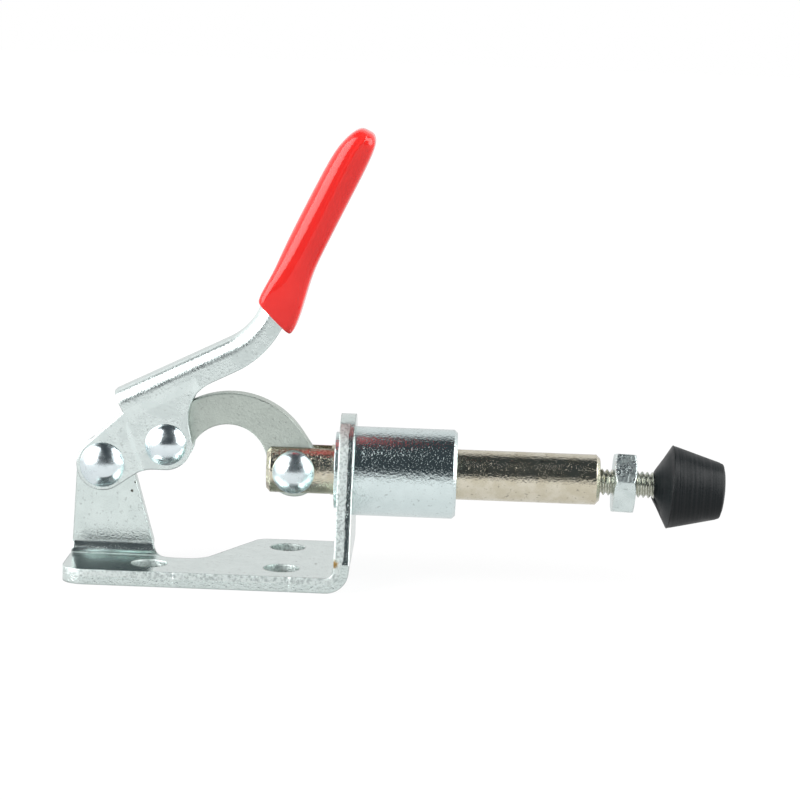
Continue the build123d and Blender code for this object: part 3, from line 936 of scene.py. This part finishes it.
def close_tube(shape: bmesh.types.BMesh, place: Matrix, rings: list[Ring], low: float, high: float) -> None:
    """Join rings round the local Z axis into a closed solid.

    Args:
        shape: the mesh that the rings are in.
        place: the placing of the local axes.
        rings: the rings in order.
        low: where the first one lies along the axis.
        high: where the last one lies along the axis.
    """
    bridge(shape, rings)
    cap(shape, rings[0], place @ Vector((0.0, 0.0, low)), True)
    cap(shape, rings[-1], place @ Vector((0.0, 0.0, high)), False)


def finish_mesh(
    shape: bmesh.types.BMesh, name: str, material: bpy.types.Material, sharp: float
) -> bpy.types.Object:
    """Turn a bmesh into a painted object.

    Args:
        shape: the mesh, which is freed.
        name: name of the piece.
        material: its material.
        sharp: angle in degrees above which an edge stays sharp.

    Returns:
        The new piece, already in the scene.
    """
    bmesh.ops.recalc_face_normals(shape, faces=shape.faces)
    for edge in shape.edges:
        edge.smooth = edge.calc_face_angle(math.pi) < math.radians(sharp)
    for face in shape.faces:
        face.smooth = True
    mesh = bpy.data.meshes.new(name)
    shape.to_mesh(mesh)
    shape.free()
    piece = bpy.data.objects.new(name, mesh)
    bpy.context.scene.collection.objects.link(piece)
    paint(piece, material)
    return piece


@dataclass(frozen=True)
class Lathe:
    """A turned shape: its profile, as (radius, distance), goes round the local Z axis."""

    profile: tuple[Pair, ...]
    steps: int = 64

    def add_to(self, shape: bmesh.types.BMesh, place: Matrix) -> list[Ring]:
        """Add the shape to a mesh.

        Args:
            shape: the mesh to add to.
            place: the placing of the shape's own axes.

        Returns:
            Its rings, from the start of the profile to its end.
        """
        rings = [turned_ring(shape, place, [radius] * self.steps, along) for radius, along in self.profile]
        close_tube(shape, place, rings, self.profile[0][1], self.profile[-1][1])
        return rings


@dataclass(frozen=True)
class Station:
    """One cross-section of the grip, in millimetres along, across and beside the handle."""

    along: float
    back: float
    front: float
    half_width: float
    back_round: float
    front_round: float

    def shrunk(self, inset: float, deeper: float) -> "Station":
        """Make a smaller section with the same corners.

        Args:
            inset: how far every side moves inwards.
            deeper: how far the section moves along.

        Returns:
            The new section.
        """
        return Station(
            self.along + deeper, self.back + inset, self.front - inset, self.half_width - inset,
            self.back_round, self.front_round,
        )


@dataclass
class Grip:
    """The dipped vinyl sleeve, lofted through rounded sections along the handle.

    Its lengths are in millimetres and its angle in degrees. The origin is the handle's own, in the side view.
    """

    material: bpy.types.Material
    origin: Pair = (-19.0826, 20.6245)
    angle: float = 64.5
    crown: float = 0.12
    corner_share: float = 0.9
    wall: float = 0.9
    mouth_slant: float = 0.335
    slant_fades_at: float = 36.0
    mouth_depth: float = 2.5
    mouth_middle: float = 5.8
    lip_depth: float = 0.25
    lip_share: float = 0.55
    tip_reach: float = 0.1
    arc_steps: int = 6
    flat_steps: int = 4
    rounding_levels: int = 2
    sharp: float = 180.0
    stations: tuple[Station, ...] = (
        Station(25.75, 2.95, 9.05, 4.65, 1.1, 1.2),
        Station(25.95, 2.62, 9.45, 4.88, 1.15, 1.3),
        Station(26.8, 2.45, 9.62, 4.95, 1.2, 1.35),
        Station(28.8, 2.50, 9.38, 5.00, 1.3, 1.35),
        Station(31.0, 2.58, 8.92, 4.98, 1.6, 1.4),
        Station(33.2, 2.54, 8.46, 4.94, 2.0, 1.5),
        Station(35.4, 2.42, 8.10, 4.92, 2.3, 1.6),
        Station(38.5, 2.33, 8.02, 4.92, 2.5, 1.7),
        Station(42.5, 2.30, 8.00, 4.92, 2.55, 1.8),
        Station(46.5, 2.31, 7.98, 4.92, 2.55, 1.9),
        Station(50.0, 2.36, 7.98, 4.92, 2.5, 2.0),
        Station(52.5, 2.46, 7.97, 4.90, 2.4, 2.1),
        Station(54.4, 2.70, 7.92, 4.86, 2.2, 2.1),
        Station(56.0, 3.14, 7.80, 4.78, 2.0, 1.9),
        Station(57.2, 3.62, 7.62, 4.62, 1.8, 1.5),
        Station(58.0, 4.15, 7.20, 4.00, 1.5, 1.3),
        Station(58.5, 4.70, 6.60, 2.80, 1.0, 0.9),
    )

    def build(self) -> bpy.types.Object:
        """Loft the sleeve, roll its mouth inwards and let it stand for the plain one.

        Returns:
            The new piece.
        """
        shape = bmesh.new()
        first, last = self.stations[0], self.stations[-1]
        mouth = (
            first.shrunk(self.wall, self.mouth_depth),
            first.shrunk(self.wall, self.lip_depth),
            first.shrunk(self.lip_share * self.wall, 0.0),
        )
        rings = [self.add_ring(shape, station) for station in mouth + self.stations]
        bridge(shape, rings)
        tip = self.point(last.along + self.tip_reach, (last.back + last.front) / 2, 0.0)
        cap(shape, rings[-1], tip, False)
        bottom = self.point(first.along + self.mouth_depth, self.mouth_middle, 0.0)
        cap(shape, rings[0], bottom, True)
        piece = finish_mesh(shape, "grip_sleeve", self.material, self.sharp)
        rounding = piece.modifiers.new("rounding", "SUBSURF")
        rounding.levels = self.rounding_levels
        rounding.render_levels = self.rounding_levels
        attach(piece, "handle")
        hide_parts("handle_grip")
        return piece

    def point(self, along: float, across: float, side: float) -> Vector:
        """Place a point of the grip.

        Args:
            along: how far it lies along the handle.
            across: how far it lies across the handle.
            side: how far it lies beside the middle of the clamp.

        Returns:
            The point in metres.
        """
        lean = math.radians(self.angle)
        x = self.origin[0] + along * math.cos(lean) + across * math.sin(lean)
        z = self.origin[1] + along * math.sin(lean) - across * math.cos(lean)
        return Vector((x, side, z)) * MM

    def add_ring(self, shape: bmesh.types.BMesh, station: Station) -> Ring:
        """Add one rounded section; near the mouth it leans with the mouth.

        Args:
            shape: the mesh to add to.
            station: the section.

        Returns:
            Its ring of points.
        """
        middle = (station.back + station.front) / 2
        start = self.stations[0].along
        fade = min(1.0, max(0.0, (self.slant_fades_at - station.along) / (self.slant_fades_at - start)))
        ring = []
        for across, side in self.outline(station):
            along = station.along - fade * self.mouth_slant * across
            ring.append(shape.verts.new(self.point(along, middle + across, side)))
        return ring

    def corners(self, station: Station) -> list[Pair]:
        """Round the four corners of a section.

        Args:
            station: the section.

        Returns:
            The points of the four arcs in order, as (across, side) from the section's middle.
        """
        half = (station.front - station.back) / 2
        half_width = station.half_width
        across_sides, beside_sides = (1, -1, -1, 1), (1, 1, -1, -1)
        rounds = (station.front_round, station.back_round, station.back_round, station.front_round)
        points = []
        for quarter, reach in enumerate(rounds):
            radius = min(reach, self.corner_share * half, self.corner_share * half_width)
            across = (half - radius) * across_sides[quarter]
            side = (half_width - radius) * beside_sides[quarter]
            for step in range(self.arc_steps + 1):
                angle = math.pi / 2 * quarter + math.pi / 2 * step / self.arc_steps
                points.append((across + radius * math.cos(angle), side + radius * math.sin(angle)))
        return points

    def outline(self, station: Station) -> list[Pair]:
        """Draw a section as a rounded rectangle with slightly crowned flats.

        Args:
            station: the section.

        Returns:
            The points in order, the same number for every section, as (across, side) from its middle.
        """
        corners = self.corners(station)
        points = []
        for place, corner in enumerate(corners):
            points.append(corner)
            if place % (self.arc_steps + 1) == self.arc_steps:
                after = corners[(place + 1) % len(corners)]
                for step in range(1, self.flat_steps):
                    part = step / self.flat_steps
                    bulge = 1 + self.crown * 4 * part * (1 - part) / station.half_width
                    across = corner[0] + (after[0] - corner[0]) * part
                    side = corner[1] + (after[1] - corner[1]) * part
                    points.append((across * bulge, side * bulge))
        return points


@dataclass
class Rivet:
    """A rivet with a dome on each side of the clamp.

    The seat is how far the underside of each head lies from the middle of the clamp. The collar is how far
    the head reaches in below its seat, the gap how far the shank ends from the middle. Rings are given by
    their radius.
    """

    material: bpy.types.Material
    node: str
    body: str
    diameter: float
    seat: float
    gap: float = 0.0
    collar: float = 0.0
    rings: tuple[float, ...] = ()
    shank: float = 3.8 * MM
    rim: float = 0.22 * MM
    rim_edge: float = 0.5
    rise: float = 1.70 * MM
    foot_share: float = 0.985
    ring_depth: float = 0.012 * MM
    ring_width: float = 0.09 * MM
    cuts: int = 22
    sharp: float = 32.0

    def build(self) -> bpy.types.Object:
        """Turn both halves of the rivet and let them stand for the plain one.

        Returns:
            The new piece.
        """
        low, high = (Vector(corner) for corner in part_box(self.node))
        centre = (low + high) / 2
        shape = bmesh.new()
        lathe = Lathe(tuple(self.profile()))
        middle = Matrix.Translation((centre.x, 0.0, centre.z))
        for side in (-90.0, 90.0):
            lathe.add_to(shape, middle @ Matrix.Rotation(math.radians(side), 4, "X"))
        piece = finish_mesh(shape, self.node + "_dome", self.material, self.sharp)
        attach(piece, self.body)
        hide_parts(self.node)
        return piece

    def profile(self) -> list[Pair]:
        """Draw one half, from the middle of the clamp out to the top of its dome.

        Returns:
            The profile's points, as (radius, distance).
        """
        radius = self.diameter / 2
        points = [(self.shank / 2, self.gap), (self.shank / 2, self.seat - self.collar)]
        points += [(radius, self.seat - self.collar), (radius, self.seat + self.rim * self.rim_edge)]
        ball = (radius**2 + self.rise**2) / (2 * self.rise)
        reach = math.asin(radius / ball)
        foot = self.seat + self.rim
        for cut in range(self.cuts):
            angle = reach * (1 - cut / self.cuts) * self.foot_share
            away = ball * math.sin(angle)
            height = foot + self.rise - ball * (1 - math.cos(angle))
            for ring in self.rings:
                height -= self.ring_depth * math.exp(-((away - ring) / self.ring_width) ** 2)
            points.append((away, height))
        return points


@dataclass
class SpindleAxis:
    """Where the spindle starts inside the rod and how it and the cap lean, in degrees."""

    rod_front: float
    height: float = 17.0 * MM
    inside: float = 10.0 * MM
    tilt: float = 1.8
    cap_standoff: float = 8.6 * MM
    cap_lean: float = 1.2

    def start(self) -> Matrix:
        """Return the placing of the spindle's hidden end; local Z points along the spindle."""
        origin = Matrix.Translation((self.rod_front - self.inside, 0.0, self.height))
        return origin @ Matrix.Rotation(math.radians(90 + self.tilt), 4, "Y")

    def cap(self) -> Matrix:
        """Return the placing of the cap's neck, with the cap's own lean."""
        along = Matrix.Translation((0.0, 0.0, self.inside + self.cap_standoff))
        return self.start() @ along @ Matrix.Rotation(math.radians(self.cap_lean), 4, "Y")


@dataclass
class RubberTip:
    """The rubber tip with its sharp rim, crowned end and a nick torn in its neck.

    Neck, rim and end are radii. Cone and barrel are the lengths behind and in front of the rim.
    """

    material: bpy.types.Material
    axis: SpindleAxis
    neck: float = 2.45 * MM
    rim: float = 6.65 * MM
    end: float = 4.4 * MM
    cone: float = 2.6 * MM
    barrel: float = 8.3 * MM
    crown: float = 0.5 * MM
    neck_round: tuple[Pair, ...] = ((-0.15 * MM, 0.0), (0.0, 0.08 * MM), (0.25 * MM, 0.22 * MM))
    cone_bulge: float = 0.10 * MM
    rim_round: float = 0.10 * MM
    rim_half: float = 0.04 * MM
    rim_lip: float = 0.03 * MM
    rim_lip_length: float = 0.3 * MM
    end_round: float = 0.40 * MM
    end_lip: float = 0.04 * MM
    barrel_cuts: int = 12
    round_cuts: int = 4
    crown_cuts: int = 7
    steps: int = 96
    sharp: float = 50.0
    nick_angle: float = 335.0
    nick_reach: float = 40.0
    nick_depth: float = 0.60 * MM
    nick_ragged: float = 0.25
    nick_waves: float = 0.9            # how fast the ragged part changes round the neck

    def build(self) -> bpy.types.Object:
        """Turn the tip, tear its neck a little and let it stand for the plain cap.

        Returns:
            The new piece.
        """
        shape = bmesh.new()
        rings = Lathe(tuple(self.profile()), self.steps).add_to(shape, self.axis.cap())
        self.tear_neck(rings[:len(self.neck_round)])
        piece = finish_mesh(shape, "rubber_tip", self.material, self.sharp)
        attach(piece, "plunger")
        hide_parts("rubber_cap")
        return piece

    def profile(self) -> list[Pair]:
        """Draw the tip from its neck to the middle of its end.

        Returns:
            The profile's points, as (radius, distance).
        """
        length = self.cone + self.barrel
        slope = (self.rim - self.end) / self.barrel
        points = [(self.neck + out, along) for out, along in self.neck_round]
        points += [
            ((self.neck + self.rim) / 2, self.cone / 2 + self.cone_bulge),
            (self.rim - self.rim_round, self.cone - self.rim_half),
            (self.rim, self.cone + self.rim_half),
            (self.rim - slope * self.rim_lip_length - self.rim_lip, self.cone + self.rim_lip_length),
        ]
        for part in range(1, self.barrel_cuts):
            along = self.barrel * part / self.barrel_cuts
            points.append((self.rim - slope * along, self.cone + along))
        for part in range(self.round_cuts + 1):
            angle = math.radians(90 * part / self.round_cuts)
            inset = self.end_round * (1 - math.cos(angle))
            points.append((self.end - inset + self.end_lip, length - self.end_round * (1 - math.sin(angle))))
        for part in range(1, self.crown_cuts):
            away = (self.end - self.end_round) * (1 - part / self.crown_cuts)
            rise = self.crown * (1 - (away / self.end) ** 2)
            points.append((away, length + rise))
        return points

    def tear_neck(self, rings: list[Ring]) -> None:
        """Push one side of the neck in, as a ragged notch.

        Args:
            rings: the neck's rings.
        """
        along = self.axis.cap().to_3x3() @ Vector((0.0, 0.0, 1.0))
        for ring in rings:
            for step, corner in enumerate(ring):
                turn = 360.0 * step / len(ring)
                away = abs((turn - self.nick_angle + 180.0) % 360.0 - 180.0)
                ragged = 1.0 - self.nick_ragged + self.nick_ragged * math.sin(turn * self.nick_waves)
                corner.co += along * self.nick_depth * max(0.0, 1.0 - away / self.nick_reach) * ragged


@dataclass
class Spindle:
    """The threaded spindle with its moulded-in head."""

    material: bpy.types.Material
    axis: SpindleAxis
    diameter: float = 4.2 * MM
    depth: float = 0.42 * MM
    pitch: float = 0.8 * MM
    length: float = 20.8 * MM
    head_across: float = 8.0 * MM
    head_height: float = 3.0 * MM
    head_inside: float = 2.2 * MM
    head_sides: int = 6
    crest: float = 0.16
    steps: int = 32
    rows_per_turn: int = 12
    sharp: float = 25.0

    def build(self) -> bpy.types.Object:
        """Make the threaded shank and its hexagon head, and let it stand for the plain spindle.

        Returns:
            The new piece.
        """
        shape = bmesh.new()
        self.add_thread(shape)
        self.add_head(shape)
        piece = finish_mesh(shape, "spindle_thread", self.material, self.sharp)
        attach(piece, "plunger")
        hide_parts("spindle_bolt")
        return piece

    def add_thread(self, shape: bmesh.types.BMesh) -> None:
        """Add the shank as a tube whose radius follows the thread's profile round a helix.

        Args:
            shape: the mesh to add to.
        """
        rows = int(self.length / self.pitch * self.rows_per_turn)
        place = self.axis.start()
        rings = []
        for row in range(rows + 1):
            along = self.length * row / rows
            radii = [self.radius(along / self.pitch - step / self.steps) for step in range(self.steps)]
            rings.append(turned_ring(shape, place, radii, along))
        close_tube(shape, place, rings, 0.0, self.length)

    def radius(self, turns: float) -> float:
        """Follow the thread's profile.

        Args:
            turns: the place, in turns from the middle of a root.

        Returns:
            The radius there.
        """
        flank = abs(2 * (turns % 1.0) - 1)
        groove = min(1.0, max(0.0, (flank - self.crest) / (1 - 2 * self.crest)))
        return self.diameter / 2 - self.depth * groove

    def add_head(self, shape: bmesh.types.BMesh) -> None:
        """Add the hexagon head, which leans with the cap.

        Args:
            shape: the mesh to add to.
        """
        radii = [self.head_across / math.sqrt(3)] * self.head_sides
        place = self.axis.cap()
        levels = (self.head_inside, self.head_inside + self.head_height)
        rings = [turned_ring(shape, place, radii, level, math.pi / self.head_sides) for level in levels]
        close_tube(shape, place, rings, *levels)


@dataclass
class Softbox:
    """A rectangular studio lamp that faces the clamp, placed by its direction and distance from it.

    Its angles are in degrees. Its radiance is that of the lit face.
    """

    name: str
    azimuth: float
    width: float
    roll: float
    elevation: float = 28.0
    distance: float = 0.5
    height: float = 0.52
    radiance: float = 4.5
    aim: tuple[float, float, float] = (0.017, 0.0, 0.02)

    def build(self) -> bpy.types.Object:
        """Make the lamp; its power follows from its size and radiance.

        Returns:
            The lamp.
        """
        lamp = bpy.data.lights.new(self.name, "AREA")
        lamp.shape = "RECTANGLE"
        lamp.size = self.width
        lamp.size_y = self.height
        lamp.energy = math.pi * self.radiance * self.width * self.height
        turn = math.radians(self.azimuth)
        rise = math.radians(self.elevation)
        out = Vector((math.sin(turn) * math.cos(rise), -math.cos(turn) * math.cos(rise), math.sin(rise)))
        facing = (-out).to_track_quat("-Z", "Y").to_matrix().to_4x4()
        lean = Matrix.Rotation(math.radians(self.roll), 4, "Z")
        piece = bpy.data.objects.new(self.name, lamp)
        piece.matrix_world = Matrix.Translation(Vector(self.aim) + out * self.distance) @ facing @ lean
        bpy.context.scene.collection.objects.link(piece)
        return piece


@dataclass
class Studio:
    """A white table, a bright backdrop, a dark ceiling and two large softboxes.

    The floor's glows are what the camera sees round the clamp, and what metal sees in front of it, behind
    it and under its base; in the glow that metal sees, a painted shadow lowers it behind the clamp and more
    under its base. The ceiling starts at a rise in degrees; the other spans of the world are read on
    the X part of a direction.
    """

    floor_size: float = 8.0
    floor_drop: float = 0.02 * MM
    floor_tone: float = 0.10
    floor_glow: float = 0.90
    floor_glow_span: Pair = (0.10, 0.30)
    mirror_glow: float = 0.83
    # painted shade: metal sees a lower glow behind the clamp, and a much lower one under its base
    painted_shade_behind_glow: float = 0.74
    painted_shade_behind_span: Pair = (-0.06, 0.0)
    shaded_glow: float = 0.20
    shade_span: Pair = (-3.0 * MM, 1.5 * MM)
    base_middle: float = -11.6 * MM
    base_half_length: float = 22.4 * MM
    base_half_width: float = 14.0 * MM
    backdrop: float = 0.80
    side_glow: float = 1.10
    side_span: Pair = (0.40, 0.65)
    ceiling: Colour = opaque(0.045, 0.055, 0.062)
    ceiling_rise: Pair = (58.0, 64.0)
    dark_middle: float = 0.12
    dark_span: Pair = (0.80, 0.68)
    boxes: tuple[Softbox, ...] = (
        Softbox("left_softbox", azimuth=-60.0, width=0.44, roll=20.0),
        Softbox("right_softbox", azimuth=76.0, width=0.42, roll=-20.0),
    )

    def build(self) -> None:
        """Make the floor, the world and the lamps."""
        self.add_floor()
        self.add_world()
        for box in self.boxes:
            box.build()

    def add_floor(self) -> None:
        """Make the pale floor, which glows white to the camera and to metal, with a painted shadow under the
        base in the glow that metal sees.
        """
        mesh = bpy.data.meshes.new("floor")
        half = self.floor_size / 2
        corners = [(-half, -half, 0.0), (half, -half, 0.0), (half, half, 0.0), (-half, half, 0.0)]
        mesh.from_pydata(corners, [], [(0, 1, 2, 3)])
        floor = bpy.data.objects.new("floor", mesh)
        floor.location.z = -self.floor_drop
        bpy.context.scene.collection.objects.link(floor)
        paint(floor, self.floor_look())

    def floor_look(self) -> bpy.types.Material:
        """Make the floor's material: a little diffuse tone that takes the shadow, and its glows.

        Returns:
            The material.
        """
        material, sheet = new_material("floor_look")
        diffuse = sheet.add("ShaderNodeBsdfDiffuse")
        diffuse.inputs["Color"].default_value = grey(self.floor_tone)
        rays = sheet.add("ShaderNodeLightPath")
        mirror = sheet.math("MAXIMUM", rays.outputs["Is Glossy Ray"], rays.outputs["Is Transmission Ray"])
        # painted shadow: the glow that metal sees is dimmed under the base and behind the clamp
        mirror_glow = sheet.math("MULTIPLY", mirror, self.mirror_glow_with_painted_shadow(sheet))
        seen_glow = sheet.math("MULTIPLY", rays.outputs["Is Camera Ray"], self.open_floor(sheet))
        glow = sheet.add("ShaderNodeEmission")
        sheet.feed(glow.inputs["Strength"], sheet.math("MAXIMUM", seen_glow, mirror_glow))
        both = sheet.add("ShaderNodeAddShader")
        sheet.join(diffuse.outputs["BSDF"], both.inputs[0])
        sheet.join(glow.outputs["Emission"], both.inputs[1])
        sheet.show(both.outputs["Shader"])
        return material

    def open_floor(self, sheet: NodeSheet) -> Socket:
        """Work out the glow that the camera sees.

        Args:
            sheet: the floor's nodes.

        Returns:
            The glow: full far out and a little less round the clamp.
        """
        away = sheet.add("ShaderNodeVectorMath", operation="LENGTH")
        sheet.join(sheet.place(), away.inputs[0])
        return sheet.ramp(away.outputs["Value"], self.floor_glow_span, (self.floor_glow, 1.0))

    def mirror_glow_with_painted_shadow(self, sheet: NodeSheet) -> Socket:
        """Work out the glow that metal sees, with its painted shadow.

        Args:
            sheet: the floor's nodes.

        Returns:
            The glow: a painted shadow, dim under the base and a little lower behind the clamp, full a little
                way out.
        """
        at = sheet.split(sheet.place())
        along = sheet.math("ABSOLUTE", sheet.math("SUBTRACT", at["X"], self.base_middle))
        away_x = sheet.math("SUBTRACT", along, self.base_half_length)
        away_y = sheet.math("SUBTRACT", sheet.math("ABSOLUTE", at["Y"]), self.base_half_width)
        # painted shade: the glow drops behind the clamp, and drops further under the base
        open_glow = sheet.ramp(at["Y"], self.painted_shade_behind_span, (self.mirror_glow, self.painted_shade_behind_glow))
        away = sheet.math("MAXIMUM", away_x, away_y)
        return sheet.ramp(away, self.shade_span, (self.shaded_glow, open_glow))

    def add_world(self) -> None:
        """Make the surroundings: white to the camera, a pale backdrop and a dark ceiling to the rest."""
        world = bpy.data.worlds.new("studio")
        bpy.context.scene.world = world
        world.use_nodes = True
        world.node_tree.nodes.clear()
        sheet = NodeSheet(world.node_tree)
        towards = sheet.split(sheet.add("ShaderNodeTexCoord").outputs["Generated"])
        rise = sheet.math("ARCTAN2", towards["Z"], towards["Y"])
        overhead = sheet.ramp(rise, tuple(math.radians(angle) for angle in self.ceiling_rise))
        aside = sheet.math("ABSOLUTE", sheet.math("SUBTRACT", towards["X"], self.dark_middle))
        dark = sheet.math("MULTIPLY", overhead, sheet.ramp(aside, self.dark_span))
        bright = sheet.mix(sheet.ramp(aside, self.side_span), grey(self.backdrop), grey(self.side_glow))
        tone = sheet.mix(dark, bright, self.ceiling)
        seen = sheet.add("ShaderNodeLightPath").outputs["Is Camera Ray"]
        sky = sheet.add("ShaderNodeBackground")
        sheet.feed(sky.inputs["Color"], sheet.mix(seen, tone, grey(1.0)))
        sheet.show(sky.outputs["Background"], "ShaderNodeOutputWorld")


@dataclass
class Camera:
    """The camera, slightly above the clamp and a little rolled; its angles are in degrees."""

    place: tuple[float, float, float] = (0.02333, -0.39535, 0.0895)
    ahead: tuple[float, float, float] = (-0.0145, 0.9999, 0.0)
    pitch: float = 8.75
    roll: float = 2.02
    lens: float = 113.4
    sensor: float = 36.0
    clip: Pair = (0.01, 50.0)

    def build(self) -> bpy.types.Object:
        """Make the camera and put it in charge of the scene.

        Returns:
            The camera.
        """
        data = bpy.data.cameras.new("camera")
        data.lens = self.lens
        data.sensor_width = self.sensor
        data.sensor_fit = "HORIZONTAL"
        data.clip_start, data.clip_end = self.clip
        piece = bpy.data.objects.new("camera", data)
        upright = Vector((0.0, 0.0, 1.0))
        down = math.radians(self.pitch)
        look = Vector(self.ahead).normalized() * math.cos(down) - upright * math.sin(down)
        side = look.cross(upright).normalized()
        rise = side.cross(look).normalized()
        lean = math.radians(self.roll)
        right = side * math.cos(lean) + rise * math.sin(lean)
        up = rise * math.cos(lean) - side * math.sin(lean)
        turn = Matrix((right, up, -look)).transposed()
        piece.matrix_world = Matrix.Translation(self.place) @ turn.to_4x4()
        bpy.context.scene.collection.objects.link(piece)
        bpy.context.scene.camera = piece
        return piece


def main() -> None:
    """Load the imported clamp, dress it and set up the studio."""
    logging.basicConfig(level=logging.INFO, format="%(message)s")
    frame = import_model()
    bpy.context.scene.view_settings.view_transform = "Standard"
    finishes = Finishes(Effects())
    log.info("painted %s", ", ".join(PaintedNodes(frame["nodes"], finishes).build()))
    axis = SpindleAxis(rod_front=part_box("plunger_rod")[1][0])
    pieces = [
        Grip(finishes.vinyl),
        Rivet(finishes.rivet, "rear_pivot_rivet", "handle", diameter=7.1 * MM, seat=3.3 * MM),
        Rivet(finishes.rivet, "link_rivet", "handle", diameter=6.6 * MM, seat=3.6 * MM),
        Rivet(
            finishes.satin_rivet, "plunger_rivet", "plunger", diameter=6.7 * MM, seat=3.9 * MM,
            gap=1.65 * MM, collar=1.6 * MM, rings=(0.9 * MM, 1.7 * MM),
        ),
        Spindle(finishes.thread, axis),
        RubberTip(finishes.rubber, axis),
    ]
    for piece in pieces:
        log.info("made %s", piece.build().name)
    Studio().build()
    Camera().build()


if __name__ == "__main__":
    main()
